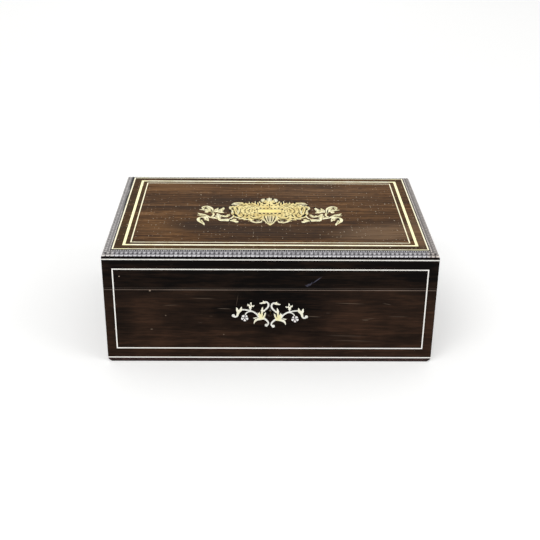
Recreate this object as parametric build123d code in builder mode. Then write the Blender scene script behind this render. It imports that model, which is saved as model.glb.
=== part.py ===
from build123d import *

import math
import os

# A hinged document box: a boarded carcass under dark veneer, inlaid with bone and brass
# lines, with leafwork round the keyhole, a brass cartouche in the top and a ripple
# moulding round the lid. X runs from left to right, Y from front to back and Z up. The
# origin is the middle of the footprint, on the table. Sizes are in millimetres.

# Overall sizes
box_length = 360.0  # over the veneer
box_depth = 238.0  # over the veneer
box_height = 132.4  # table to the top of the lid
seam_height = 89.5  # table to the rim of the base
seam_gap = 0.3  # hairline between the rim and the lid

# Stock thicknesses
board = 9.0  # carcass boards and lid rails
veneer = 1.2
bottom_thickness = 6.0
lid_board_thickness = 8.0
lining = 1.5  # cloth-covered card
corner_round = 0.4  # worn upright corners
seam_bevel = 0.35  # outer edges of the veneers at the seam

# Plinth strips under the walls
plinth_height = 4.2
plinth_round = 2.6

# Ripple moulding round the top, here as the plain bar that the ripples are cut in
moulding_width = 10.3
moulding_height = 5.2
moulding_lip = 1.3  # flat fillet beside the brass line
moulding_edge = 1.2  # height of the outer edge
moulding_crest = 5.0  # height where the slope meets the fillet
moulding_swell = 0.5  # rise of the rounded slope above a straight one

# Bone lines in the walls
line_width = 1.3
line_depth = 0.8
frame_inset = 11.0  # corner of the box to the middle of a frame's upright
frame_foot = 16.7  # table to the middle of a frame's lowest line
frame_head = 113.5  # table to the middle of a frame's highest line
lid_edge_line_foot = 124.35

# Brass lines in the top, each from the side of the box to its outer edge, and its width
wide_line_inset = 20.3
wide_line_width = 2.9
inner_line_inset = 28.0
inner_line_width = 1.2
outer_line_width = 1.4  # lies against the moulding

# Linings
lining_drop = 3.0  # rim down to the linings' upper edge
lid_lining_rise = 1.6  # lid's lower edge up to the linings' lower edge
lining_joint = 0.2  # between one card and the next
notch_play = 0.6  # lining round the lock plate

# Keyhole
keyhole_height = 62.8  # table to the key pin
keyhole_radius = 2.2
keyhole_slot = 1.9
keyhole_drop = 5.6  # key pin to the foot of the slot

# Lock, with a bolt that slides through two loops under the lid
lock_width = 64.0
lock_plate_foot = 52.5
lock_plate_thickness = 1.4
lock_case_width = 46.0
lock_case_foot = 54.5
lock_case_reach = 7.8  # inner face of the board to the front of the case
lock_case_wall = 0.8
key_pin_radius = 0.9
bolt_travel = 4.0
bolt_thickness = 2.0
bolt_foot = 68.0
bolt_bar_height = 8.4
bolt_bar_right = 14.0
talon_width = 6.0  # notch in the bar that the key turns in
talon_depth = 2.2
hook_width = 2.5
finger_height = 2.6
finger_drop = 3.1  # rim down to the top of a finger
finger_lead = 0.5  # a finger's tip to its loop while the bolt is back
loop_places = (-9.0, 9.0)
loop_thickness = 2.0
loop_rim = 0.8  # metal beside a loop's eye
loop_bar = 1.0  # metal under a loop's eye
loop_play = 0.5  # round a finger in its eye, and round a loop in its slot
stud_places = (-12.0, 8.0)
stud_radius = 1.0
stud_height = 4.6  # foot of the bar up to the studs
spring_thickness = 0.5
spring_rise = 2.0  # floor of the case up to the spring's root
spring_reach = 6.0  # the spring's tip under the bar, from its right end
spring_bow = 2.0  # sideways and up at half its length
running_gap = 0.3

# Hinges
hinge_places = (-110.0, 110.0)
leaf_width = 40.0
leaf_thickness = 1.3
leaf_depth = 9.5  # back face towards the front
flange_height = 9.2  # up or down the back face from the seam
pin_setback = 2.1  # pin axis behind the back face
barrel_radius = 1.9
barrel_middle = 14.0  # the lid's barrel, between the base's two
barrel_gap = 0.2
pin_radius = 0.9
pin_clearance = 0.05
lid_opening = 100.0  # degrees, where the lid's flanges meet the stops
stop_reach = 4.4  # pin axis to the end of a stop
stop_width = 7.0
stop_edge = 2.0  # height of a stop's end
stop_gap = 0.25

# Wood screws
screw_head_radius = 2.2
screw_head_depth = 1.2
screw_shank_radius = 1.0
screw_length = 7.0
screw_point = 2.0
screw_slot = 0.5
screw_clearance = 0.05
leaf_screws = 13.0  # middle of a hinge to the screws through its leaf
flange_screws = 5.0  # middle of a hinge to the screws through its flange
flange_screw_drop = 6.0  # seam to those screws
lock_screw_margin = 4.5  # side of the lock plate to its screws
lock_screw_feet = (6.0, 21.0)  # foot of the lock plate to its screws

# Inlaid leafwork
inlay_depth = 0.8
engraving_depth = 0.3
right_spray_shift = (-0.7, -1.3)  # the hand-cut right spray lies nearer the keyhole and lower

# Worked out from the sizes above
half_length = box_length / 2
half_depth = box_depth / 2
skin = veneer + board
lid_foot = seam_height + seam_gap
top_foot = box_height - veneer
lid_board_foot = top_foot - lid_board_thickness
moulding_foot = box_height - moulding_height
floor_top = bottom_thickness + lining
inner_front = -half_depth + skin
pin_y = half_depth + pin_setback
pin_z = seam_height + seam_gap / 2
front_plane = Plane(origin=(0, -half_depth, 0), x_dir=(1, 0, 0), z_dir=(0, -1, 0))
top_plane = Plane.XY.offset(box_height)

SIDES = {
    "front": (Vector(1, 0, 0), half_depth, half_length),
    "right": (Vector(0, 1, 0), half_length, half_depth),
    "back": (Vector(-1, 0, 0), half_depth, half_length),
    "left": (Vector(0, -1, 0), half_length, half_depth),
}  # way along the side, centre to its face, half its length

os.makedirs("parts", exist_ok=True)


def face_plane(side):
    """The outer face of a side, seen from outside: x along it and y up from the table."""
    along, reach, _ = SIDES[side]
    outward = along.cross(Vector(0, 0, 1))
    return Plane(origin=outward * reach, x_dir=along, z_dir=outward)


def section_plane(side, foot):
    """A plane across a side: x runs inward from its face and y up from the height foot."""
    along, reach, _ = SIDES[side]
    outward = along.cross(Vector(0, 0, 1))
    return Plane(origin=outward * reach + Vector(0, 0, foot), x_dir=-outward, z_dir=along)


def mitre_ends(side):
    """Cuts the part being built to the side's length, with a mitre at each end."""
    along, reach, half_run = SIDES[side]
    outward = along.cross(Vector(0, 0, 1))
    for end in (1, -1):
        corner = outward * reach + along * (end * half_run)
        split(bisect_by=Plane(origin=corner, z_dir=along * end - outward), keep=Keep.BOTTOM)


def span_box(x, y, z, mode=Mode.ADD):
    """Adds a block between the given limits, each a (low, high) pair."""
    with Locations([(sum(x) / 2, sum(y) / 2, sum(z) / 2)]):
        Box(x[1] - x[0], y[1] - y[0], z[1] - z[0], mode=mode)


def between(middle, width):
    """The limits of a width about its middle."""
    return (middle - width / 2, middle + width / 2)


def screw_plane(place, way):
    """A plane through a screw's axis, whose y runs into the wood from the head."""
    across = Vector(0, 0, 1) if abs(way.Z) < 0.5 else Vector(1, 0, 0)
    return Plane(origin=place, x_dir=across, z_dir=across.cross(way))


def add_screw(place, way):
    """Adds a countersunk, slotted wood screw whose head is flush with the place."""
    with BuildSketch(screw_plane(place, way)) as profile:
        with BuildLine():
            Polyline(
                (0, 0),
                (screw_head_radius, 0),
                (screw_shank_radius, screw_head_depth),
                (screw_shank_radius, screw_length - screw_point),
                (0, screw_length),
                close=True,
            )
        make_face()
    revolve(profile.sketch, axis=Axis(place, way))
    with BuildSketch(Plane(origin=place, z_dir=way)) as slot:
        Rectangle(3 * screw_head_radius, screw_slot)
    extrude(slot.sketch, amount=screw_slot, mode=Mode.SUBTRACT)


def cut_screw_seat(place, way):
    """Cuts the countersunk hole of such a screw from the part being built."""
    head = screw_head_radius + screw_clearance
    shank = screw_shank_radius + screw_clearance
    tip = screw_length + screw_clearance
    with BuildSketch(screw_plane(place, way)) as profile:
        with BuildLine():
            Polyline(
                (0, -1),
                (head, -1),
                (head, 0),
                (shank, screw_head_depth),
                (shank, tip),
                (0, tip),
                close=True,
            )
        make_face()
    revolve(profile.sketch, axis=Axis(place, way), mode=Mode.SUBTRACT)


# Inlaid strokes, drawn on a flat sheet


def bend(start, middle, end):
    """Adds the arc through three points, or a straight line where they are in a row."""
    turn = (middle - start).cross(end - middle).Z
    if abs(turn) < 0.004 * (end - start).length ** 2:
        Line(start, end)
    else:
        ThreePointArc(start, middle, end)


def width_at(widths, share):
    """A stroke's width at a share of its length, from widths spaced evenly along it."""
    place = share * (len(widths) - 1)
    before = min(int(place), len(widths) - 2)
    return widths[before] + (widths[before + 1] - widths[before]) * (place - before)


def stroke(points, widths, mode=Mode.ADD):
    """Draws a stroke of changing width along a smooth line through the points."""
    arcs = 4
    with BuildLine() as edge:
        centre = Spline(*points, mode=Mode.PRIVATE)
        left, right = [], []
        for step in range(2 * arcs + 1):
            share = step / (2 * arcs)
            along = centre % share
            across = Vector(-along.Y, along.X) * (width_at(widths, share) / 2)
            left.append(centre @ share + across)
            right.append(centre @ share - across)
        for first in range(0, 2 * arcs, 2):
            bend(*left[first : first + 3])
            bend(*right[first : first + 3])
        Line(left[0], right[0])
        Line(left[-1], right[-1])
    make_face(edge.line, mode=mode)


def disc(centre, radius, mode=Mode.ADD):
    with Locations(centre):
        Circle(radius, mode=mode)


def draw(strokes, discs, side=1):
    """Draws strokes and discs given for the left, or mirrored to the right with side -1."""
    for points, widths in strokes:
        stroke([(side * x, y) for x, y in points], widths)
    for (x, y), radius in discs:
        disc((side * x, y), radius)


# Leafwork left of the keyhole: points of each stroke's middle line, and its widths
leaf_strokes = [
    ([(-9.2, 53.2), (-9.4, 61.0), (-8.2, 68.4)], [6.4, 6.0, 3.6, 0.5]),
    ([(-9.8, 58.0), (-11.8, 64.6)], [3.2, 3.0, 0.4]),
    ([(-10.4, 54.8), (-13.4, 61.4)], [3.4, 3.2, 0.4]),
    ([(-8.6, 55.4), (-4.8, 61.6)], [3.4, 3.4, 0.5]),
    ([(-8.8, 59.0), (-5.9, 65.4)], [2.8, 2.8, 0.4]),
    ([(-6.8, 54.2), (-12.4, 54.0), (-16.2, 51.4), (-17.6, 47.6)], [3.0, 4.2, 2.6, 0.5]),
    ([(-12.4, 53.8), (-18.6, 54.8)], [3.0, 2.6, 0.4]),
    ([(-5.4, 74.2), (-8.4, 73.0), (-11.9, 73.2)], [2.0, 3.0, 0.4]),
    ([(-6.4, 73.4), (-7.9, 76.1)], [2.6, 2.0, 0.4]),
    ([(-31.0, 65.6), (-33.6, 62.4), (-36.0, 57.6)], [1.6, 4.8, 1.9]),
    ([(-34.4, 61.2), (-36.9, 67.8)], [3.4, 3.4, 0.4]),
    ([(-32.8, 62.2), (-31.3, 68.5)], [3.0, 3.0, 0.4]),
    ([(-21.8, 66.8), (-24.8, 72.0)], [1.8, 3.0, 0.6]),
    ([(-21.8, 66.8), (-20.9, 74.2)], [1.8, 3.0, 0.6]),
    ([(-21.6, 67.0), (-17.4, 70.4)], [1.8, 2.8, 0.6]),
]
stem_strokes = [
    ([(-7.4, 63.4), (-3.6, 67.0), (-1.9, 70.7), (-3.2, 73.9), (-6.6, 74.3)], [1.6, 1.9, 2.0, 1.9, 1.6]),
    ([(-7.6, 55.0), (-3.8, 51.8), (-2.0, 48.0), (-3.1, 45.8)], [2.4, 2.1, 1.8, 1.5]),
    ([(-12.2, 54.6), (-15.6, 60.4), (-21.4, 63.6), (-31.6, 65.2)], [2.2, 1.8, 1.6, 1.5]),
    ([(-35.6, 58.6), (-37.0, 56.5), (-39.6, 56.4)], [2.1, 2.0, 1.8]),
    ([(-21.6, 63.2), (-22.0, 68.4)], [1.5, 1.4]),
    ([(-19.6, 62.9), (-24.8, 62.0), (-27.4, 58.6)], [1.4, 1.3, 1.3]),
]
stem_discs = [((-4.1, 45.9), 1.75), ((-40.2, 57.7), 1.75)]
blossom_centre = (-27.9, 54.8)
blossom_radius = 2.3
petal_radius = 1.75
petal_count = 5


def blossom(side):
    """Draws a five-petalled flower."""
    x, y = side * blossom_centre[0], blossom_centre[1]
    disc((x, y), blossom_radius)
    with Locations((x, y)):
        with PolarLocations(blossom_radius, petal_count, start_angle=-90):
            Circle(petal_radius)


# Brass cartouche in the top: points from its middle, towards the left and the back
plaque_half_length = 14.0
plaque_half_width = 4.6
plaque_line = 0.5  # engraved line round the plaque
plaque_middle = -0.6
dot_ring = (17.5, 8.6)  # half length and half width of the ring of dots
dot_radius = 0.55
dot_count = 20
body_outline = [
    (0, 26.0), (-12.0, 24.2), (-26.0, 23.6), (-38.0, 22.4), (-43.6, 16.6), (-44.6, 8.0),
    (-43.2, 0.0), (-40.6, -9.0), (-35.6, -18.0), (-28.4, -23.4), (-18.0, -25.6), (0, -24.0),
]
crown_strokes = [
    ([(-9.4, 22.0), (-11.9, 30.2)], [5.4, 4.0, 0.5]),
    ([(-14.8, 22.0), (-16.8, 30.6)], [4.4, 3.6, 0.5]),
    ([(-21.0, 21.6), (-24.2, 28.8)], [5.4, 4.0, 0.5]),
    ([(-27.0, 21.0), (-34.0, 24.2), (-40.4, 24.2)], [4.0, 4.6, 3.4]),
    ([(-36.0, 18.0), (-44.8, 18.8)], [6.0, 4.0, 0.6]),
    ([(-41.6, 13.4), (-46.0, 9.6), (-44.6, 2.6)], [4.0, 3.4, 0.8]),
    ([(-42.0, -2.0), (-43.2, -8.0), (-41.4, -13.8)], [4.4, 3.2, 0.8]),
    ([(-33.0, -17.4), (-38.6, -19.0)], [4.6, 4.0, 4.0]),
    ([(-28.0, -21.6), (-36.0, -25.0)], [4.6, 4.2, 1.6]),
    ([(-21.0, -22.6), (-30.4, -27.6)], [5.0, 4.2, 1.2]),
    ([(-19.0, -23.0), (-24.8, -31.4)], [5.0, 4.4, 0.8]),
    ([(-21.0, -24.0), (-20.4, -31.6), (-14.4, -34.8), (-8.8, -31.0), (-8.4, -24.0)],
     [2.2, 3.0, 3.4, 3.0, 3.2]),
    ([(-14.0, -22.0), (-13.6, -29.4)], [2.6, 1.6]),
]
crown_discs = [((-13.6, -30.0), 1.9), ((-40.4, 22.8), 2.8), ((-38.8, -18.4), 2.4)]
palmette_strokes = [
    ([(0, 22.0), (0, 33.0), (0, 41.8)], [5.4, 5.6, 6.2, 3.4, 1.4]),
    ([(-1.0, 22.0), (-4.8, 29.0), (-6.4, 38.4)], [3.4, 5.4, 5.0, 2.0]),
    ([(-2.6, 27.0), (-9.6, 32.0)], [4.4, 4.0, 0.6]),
    ([(0, -12.0), (0, -26.0), (0, -36.0), (0, -43.2)], [12.0, 14.0, 14.0, 10.0, 0.8]),
]

# The spray left of the cartouche
side_strokes = [
    ([(-78.2, 10.6), (-75.0, 12.8), (-70.2, 9.4), (-67.6, 2.0), (-66.6, -8.0)],
     [3.0, 4.6, 4.6, 3.2, 2.4]),
    ([(-67.6, 3.4), (-75.2, 2.8), (-82.4, 3.6)], [4.6, 4.4, 0.6]),
    ([(-67.6, 1.0), (-74.8, -3.0)], [4.4, 4.6, 1.6]),
    ([(-63.0, -4.6), (-62.2, 2.4), (-60.4, 8.4)], [3.0, 4.8, 0.8]),
    ([(-60.4, -3.4), (-56.2, 3.0), (-53.6, 9.6)], [4.0, 5.4, 1.8]),
    ([(-60.0, -3.2), (-52.8, -6.4)], [4.4, 4.0, 1.0]),
    ([(-66.6, -6.0), (-65.8, -15.6), (-70.0, -19.6)], [2.4, 2.2, 2.0]),
    ([(-83.6, -7.4), (-77.8, -12.4), (-69.4, -18.6)], [1.0, 5.8, 2.6]),
    ([(-84.0, -13.6), (-76.0, -14.6)], [0.6, 3.4]),
    ([(-70.0, -18.6), (-66.0, -20.4), (-60.6, -24.6)], [4.0, 4.6, 1.0]),
    ([(-73.4, -19.0), (-72.4, -25.0), (-69.8, -31.0)], [4.0, 4.8, 0.8]),
    ([(-77.6, -19.4), (-82.0, -24.0), (-79.6, -31.6), (-74.6, -42.8)], [2.6, 3.2, 5.4, 3.6, 0.8]),
    ([(-79.0, -19.6), (-71.0, -19.2)], [2.6, 3.6]),
    ([(-61.4, -9.0), (-58.6, -18.0), (-57.6, -26.4), (-54.0, -30.0)], [2.2, 4.8, 4.0, 4.0]),
    ([(-56.6, -17.4), (-63.4, -15.4)], [3.4, 3.0, 0.8]),
    ([(-57.0, -14.6), (-49.8, -17.0), (-46.8, -10.6)], [2.2, 4.6, 1.0]),
    ([(-56.0, -29.6), (-50.0, -30.6), (-46.0, -25.0), (-42.2, -17.6), (-43.2, -8.0)],
     [3.4, 3.4, 2.0, 1.8, 1.8]),
    ([(-52.0, -30.2), (-44.0, -29.0), (-39.8, -26.6)], [2.6, 2.4, 4.0]),
    ([(-43.6, -29.4), (-36.8, -33.6)], [3.0, 4.0]),
]
side_discs = [((-78.0, 9.8), 2.2), ((-38.2, -32.8), 2.3), ((-40.4, -27.0), 2.2)]

# Engraved lines, filled with black mastic
centre_engraving = [
    ([(-17.0, 14.2), (-27.0, 8.0), (-27.6, -6.0), (-18.0, -15.4)], [0.5, 0.7, 0.7, 0.5]),
    ([(-20.0, 18.6), (-32.4, 10.6), (-33.2, -6.4), (-22.4, -18.6)], [0.4, 0.6, 0.6, 0.4]),
    ([(-28.0, 20.4), (-37.8, 11.4), (-38.4, -4.4), (-30.6, -16.6)], [0.4, 0.6, 0.6, 0.4]),
    ([(-36.4, 20.6), (-42.0, 12.0), (-41.4, 1.0)], [0.4, 0.6, 0.4]),
    ([(-21.8, -6.0), (-24.0, 0.0), (-21.8, 6.4)], [0.4, 0.7, 0.4]),
    ([(-6.0, 16.2), (-10.6, 21.2), (-12.0, 27.8)], [0.4, 0.6, 0.3]),
    ([(-11.6, 15.4), (-15.6, 21.0), (-16.4, 27.6)], [0.4, 0.6, 0.3]),
    ([(-17.4, 17.4), (-21.0, 22.0), (-23.0, 26.2)], [0.4, 0.6, 0.3]),
    ([(-30.0, 22.6), (-36.0, 24.6), (-40.0, 23.6)], [0.4, 0.6, 0.4]),
    ([(-2.4, 24.0), (-6.4, 30.6), (-7.6, 35.8)], [0.4, 0.6, 0.3]),
    ([(-6.0, -17.6), (-5.0, -27.0), (-1.9, -36.4)], [0.5, 0.6, 0.3]),
    ([(-2.6, -16.0), (-2.3, -27.0), (-0.9, -37.6)], [0.5, 0.6, 0.3]),
    ([(-8.8, -15.6), (-12.4, -20.2), (-18.6, -22.0)], [0.4, 0.6, 0.4]),
    ([(-19.2, -25.6), (-18.6, -30.8), (-14.0, -33.2), (-10.2, -30.2)], [0.4, 0.5, 0.5, 0.4]),
    ([(-23.0, -21.0), (-30.0, -20.4), (-36.6, -18.6)], [0.4, 0.6, 0.4]),
]
middle_engraving = [
    ([(0, 25.0), (0, 38.6)], [0.6, 0.4]),
    ([(0, -15.0), (0, -38.6)], [0.6, 0.4]),
    ([(0, 12.6), (0, 19.6)], [0.5, 0.5]),
]
side_engraving = [
    ([(-75.4, 13.0), (-70.4, 8.6), (-67.4, 1.0), (-66.4, -9.0)], [0.4, 0.6, 0.6, 0.4]),
    ([(-69.6, 3.0), (-78.8, 3.4)], [0.6, 0.4]),
    ([(-61.8, -1.6), (-60.9, 5.6)], [0.5, 0.4]),
    ([(-58.6, -2.0), (-54.9, 5.6)], [0.6, 0.4]),
    ([(-80.6, -10.2), (-71.0, -17.4)], [0.5, 0.5]),
    ([(-80.4, -24.6), (-79.6, -29.0), (-76.2, -38.0)], [0.4, 0.6, 0.4]),
    ([(-72.8, -21.0), (-70.8, -27.6)], [0.5, 0.4]),
    ([(-60.0, -13.6), (-58.2, -20.6), (-57.0, -27.6)], [0.4, 0.6, 0.4]),
    ([(-50.6, -17.0), (-47.8, -13.4)], [0.5, 0.4]),
]


def spray_outlines(side, shift):
    """The leaves, stems and flower on one side of the keyhole: 1 for the left, -1 for the right."""
    with BuildSketch() as leaves:
        draw(leaf_strokes, [], side)
    with BuildSketch() as stems:
        draw(stem_strokes, stem_discs, side)
        add(leaves.sketch, mode=Mode.SUBTRACT)
    with BuildSketch() as flower:
        blossom(side)
        add(stems.sketch, mode=Mode.SUBTRACT)
    return [outline.sketch.moved(Location(shift)) for outline in (leaves, stems, flower)]


left_leaves, left_stems, left_flower = spray_outlines(1, (0, 0))
right_leaves, right_stems, right_flower = spray_outlines(-1, right_spray_shift)

with BuildSketch() as centre_outline:
    with BuildLine():
        Spline(*body_outline)
        Line(body_outline[-1], body_outline[0])
    make_face()
    draw(crown_strokes, crown_discs)
    draw(palmette_strokes[1:3], [])
    mirror(about=Plane.YZ)
    draw(palmette_strokes[:1] + palmette_strokes[3:], [])
with BuildSketch() as side_outline:
    draw(side_strokes, side_discs)
    add(centre_outline.sketch, mode=Mode.SUBTRACT)
with BuildSketch() as right_outline:
    draw(side_strokes, side_discs, -1)
    add(centre_outline.sketch, mode=Mode.SUBTRACT)
with BuildSketch() as engraving:
    draw(centre_engraving + side_engraving, [])
    mirror(about=Plane.YZ)
    draw(middle_engraving, [])
    with Locations((0, plaque_middle)):
        Rectangle(2 * plaque_half_length + 2 * plaque_line, 2 * plaque_half_width + 2 * plaque_line)
        Rectangle(2 * plaque_half_length, 2 * plaque_half_width, mode=Mode.SUBTRACT)
    for dot in range(dot_count):
        turn = 2 * math.pi * (dot + 0.5) / dot_count
        disc((dot_ring[0] * math.cos(turn), plaque_middle + dot_ring[1] * math.sin(turn)), dot_radius)


def solid_in(plane, outline, depth):
    """A piece of the outline's shape, let into the surface to the depth."""
    with BuildPart() as inlay:
        with BuildSketch(plane):
            add(outline)
        extrude(amount=-depth)
    return inlay.part


front_inlays = {
    "spray_left_leaves": solid_in(front_plane, left_leaves, inlay_depth),
    "spray_left_stems": solid_in(front_plane, left_stems, inlay_depth),
    "spray_left_flower": solid_in(front_plane, left_flower, inlay_depth),
    "spray_right_leaves": solid_in(front_plane, right_leaves, inlay_depth),
    "spray_right_stems": solid_in(front_plane, right_stems, inlay_depth),
    "spray_right_flower": solid_in(front_plane, right_flower, inlay_depth),
}
for name, inlay in front_inlays.items():
    inlay.label = name
    export_step(inlay, f"parts/{name}.step")

cartouche = {
    "cartouche_centre": solid_in(top_plane, centre_outline.sketch, inlay_depth),
    "cartouche_left_spray": solid_in(top_plane, side_outline.sketch, inlay_depth),
    "cartouche_right_spray": solid_in(top_plane, right_outline.sketch, inlay_depth),
}
engraved_lines = solid_in(top_plane, engraving.sketch, engraving_depth)
for name, inlay in cartouche.items():
    with BuildPart() as brass_sheet:
        add(inlay)
        add(engraved_lines, mode=Mode.SUBTRACT)
    brass_sheet.part.label = name
    export_step(brass_sheet.part, f"parts/{name}.step")

with BuildPart() as engraving_mastic:
    for inlay in cartouche.values():
        add(engraved_lines & inlay)
engraving_mastic.part.label = "engraving_mastic"
export_step(engraving_mastic.part, "parts/engraving_mastic.step")


# Bone lines in the walls, and the grooves they lie in


def frame_lines():
    """The line frames of the front and the two sides, whole across the seam."""
    with BuildPart() as frames:
        for side in ("front", "left", "right"):
            run = 2 * (SIDES[side][2] - frame_inset)
            rise = frame_head - frame_foot
            with BuildSketch(face_plane(side)):
                with Locations((0, (frame_foot + frame_head) / 2)):
                    Rectangle(run + line_width, rise + line_width)
                    Rectangle(run - line_width, rise - line_width, mode=Mode.SUBTRACT)
            extrude(amount=-line_depth)
    return frames.part


def edge_lines(foot):
    """A line round the front and the two sides, ending at the back corners."""
    with BuildPart() as edging:
        with BuildSketch(Plane.XY.offset(foot)) as ring:
            Rectangle(box_length, box_depth)
            fillet(ring.vertices().group_by(Axis.Y)[0], corner_round)
            with Locations((0, line_depth)):
                Rectangle(box_length - 2 * line_depth, box_depth, mode=Mode.SUBTRACT)
        extrude(amount=line_width)
    return edging.part


all_frames = frame_lines()
with BuildPart() as base_stringing:
    add(all_frames)
    split(bisect_by=Plane.XY.offset(seam_height), keep=Keep.BOTTOM)
    add(edge_lines(plinth_height))
base_stringing.part.label = "base_stringing"
export_step(base_stringing.part, "parts/base_stringing.step")

with BuildPart() as lid_stringing:
    add(all_frames)
    split(bisect_by=Plane.XY.offset(lid_foot), keep=Keep.TOP)
    add(edge_lines(lid_edge_line_foot))
lid_stringing.part.label = "lid_stringing"
export_step(lid_stringing.part, "parts/lid_stringing.step")


# Brass lines in the top


def brass_frame(inset, width):
    """A rectangular line whose outer edge lies inset inside the sides of the box."""
    inner = inset + width
    with BuildPart() as frame:
        with BuildSketch(top_plane):
            Rectangle(box_length - 2 * inset, box_depth - 2 * inset)
            Rectangle(box_length - 2 * inner, box_depth - 2 * inner, mode=Mode.SUBTRACT)
        extrude(amount=-line_depth)
    return frame.part


top_lines = {
    "brass_outer_line": brass_frame(moulding_width, outer_line_width),
    "brass_wide_line": brass_frame(wide_line_inset, wide_line_width),
    "brass_inner_line": brass_frame(inner_line_inset, inner_line_width),
}
for name, line in top_lines.items():
    line.label = name
    export_step(line, f"parts/{name}.step")


# Hinges


def hinge_plane(x):
    """A plane across the pin axis at x, centred on it: x runs to the back and y up."""
    return Plane(origin=(x, pin_y, pin_z), x_dir=(0, 1, 0), z_dir=(1, 0, 0))


def round_bar(x, radius):
    """A round bar on the hinges' pin axis between the limits x."""
    with BuildPart() as bar:
        with BuildSketch(hinge_plane(x[0])):
            Circle(radius)
        extrude(amount=x[1] - x[0])
    return bar.part


def stop(x):
    """A stop behind a barrel, whose top meets the lid's flange when the lid is fully open."""
    open_angle = math.radians(lid_opening)
    level = (pin_setback - leaf_thickness - stop_gap) / math.sin(open_angle)
    root = leaf_thickness - pin_setback
    root_top = level + root / math.tan(open_angle)
    end_top = level + stop_reach / math.tan(open_angle)
    with BuildPart() as block:
        with BuildSketch(hinge_plane(x[0])):
            with BuildLine():
                Polyline(
                    (root, root_top),
                    (stop_reach, end_top),
                    (stop_reach, end_top - stop_edge),
                    (root, -flange_height),
                    close=True,
                )
            make_face()
        extrude(amount=x[1] - x[0])
    return block.part


leaf_y = (half_depth - leaf_depth, half_depth + leaf_thickness)
flange_y = (half_depth, half_depth + leaf_thickness)
base_leaf_z = (seam_height - leaf_thickness, seam_height)
lid_leaf_z = (lid_foot, lid_foot + leaf_thickness)
bare_barrel = barrel_radius + running_gap
pin_hole = pin_radius + pin_clearance


def barrel_limits(middle, end):
    """The limits of a base leaf's barrel towards one end of the hinge, -1 or 1."""
    near = barrel_middle / 2 + barrel_gap
    return sorted((middle + end * near, middle + end * leaf_width / 2))


def base_leaf(middle):
    """A leaf in the rim with a flange down the back, two barrels and a stop behind each."""
    leaf_x = between(middle, leaf_width)
    with BuildPart() as leaf:
        span_box(leaf_x, leaf_y, base_leaf_z)
        span_box(leaf_x, flange_y, (seam_height - flange_height, seam_height))
        add(round_bar(between(middle, barrel_middle + 2 * barrel_gap), bare_barrel), mode=Mode.SUBTRACT)
        for end in (-1, 1):
            add(round_bar(barrel_limits(middle, end), barrel_radius))
            outer_end = middle + end * leaf_width / 2
            add(stop(sorted((outer_end, outer_end - end * stop_width))))
        add(round_bar(leaf_x, pin_hole), mode=Mode.SUBTRACT)
        for place, way in leaf_screw_places(middle, -1):
            cut_screw_seat(place, way)
    return leaf.part


def lid_leaf(middle):
    """A leaf under the lid's rail with a flange up the back and one barrel."""
    leaf_x = between(middle, leaf_width)
    with BuildPart() as leaf:
        span_box(leaf_x, leaf_y, lid_leaf_z)
        span_box(leaf_x, flange_y, (lid_foot, lid_foot + flange_height))
        for end in (-1, 1):
            near, far = end * barrel_middle / 2, end * (leaf_width / 2 + barrel_gap)
            add(round_bar(sorted((middle + near, middle + far)), bare_barrel), mode=Mode.SUBTRACT)
        add(round_bar(between(middle, barrel_middle), barrel_radius))
        add(round_bar(leaf_x, pin_hole), mode=Mode.SUBTRACT)
        for place, way in leaf_screw_places(middle, 1):
            cut_screw_seat(place, way)
    return leaf.part


def leaf_screw_places(middle, up):
    """Places and directions of a leaf's screws: up is 1 for the lid's leaf, -1 for the base's."""
    face = lid_foot if up > 0 else seam_height
    board_middle = half_depth - veneer - board / 2
    back = half_depth + leaf_thickness
    for end in (-1, 1):
        yield Vector(middle + end * leaf_screws, board_middle, face), Vector(0, 0, up)
        yield Vector(middle + end * flange_screws, back, face + up * flange_screw_drop), Vector(0, -1, 0)


hinge_names = {hinge_places[0]: "hinge_left", hinge_places[1]: "hinge_right"}
for middle, name in hinge_names.items():
    with BuildPart() as hinge_part:
        add(base_leaf(middle))
    hinge_part.part.label = f"{name}_base_leaf"
    export_step(hinge_part.part, f"parts/{name}_base_leaf.step")
    with BuildPart() as hinge_part:
        add(lid_leaf(middle))
    hinge_part.part.label = f"{name}_lid_leaf"
    export_step(hinge_part.part, f"parts/{name}_lid_leaf.step")
    with BuildPart() as hinge_part:
        add(round_bar(between(middle, leaf_width), pin_radius))
    hinge_part.part.label = f"{name}_pin"
    export_step(hinge_part.part, f"parts/{name}_pin.step")


# Lock

plate_sides = (-lock_width / 2, lock_width / 2)
case_sides = (-lock_case_width / 2, lock_case_width / 2)
plate_front = inner_front - lock_plate_thickness
case_inside = (case_sides[0] + lock_case_wall, case_sides[1] - lock_case_wall)
case_floor = lock_case_foot + lock_case_wall
case_front = inner_front - lock_case_reach
case_inner_front = case_front + lock_case_wall
lock_middle = (case_inner_front + plate_front) / 2
selvedge_front = case_front - lock_case_wall
selvedge_foot = seam_height - lock_plate_thickness
loop_width = bolt_thickness + 2 * loop_play + 2 * loop_rim
finger_top = seam_height - finger_drop
eye_top = finger_top + loop_play
eye_foot = finger_top - finger_height - loop_play
loop_foot = eye_foot - loop_bar
finger_reach = bolt_travel - finger_lead + running_gap
stud_level = bolt_foot + stud_height


def lock_screw_places():
    """Places and directions of the lock's screws in the plate and in the selvedge."""
    for end in (-1, 1):
        across = end * (lock_width / 2 - lock_screw_margin)
        for foot in lock_screw_feet:
            yield Vector(across, inner_front, lock_plate_foot + foot), Vector(0, -1, 0)
        yield Vector(across, (selvedge_front + inner_front) / 2, seam_height), Vector(0, 0, -1)


def strike_screw_places():
    """Places and directions of the strike plate's screws."""
    for end in (-1, 1):
        across = end * (lock_width / 2 - lock_screw_margin)
        yield Vector(across, (selvedge_front + inner_front) / 2, lid_foot), Vector(0, 0, 1)


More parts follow.
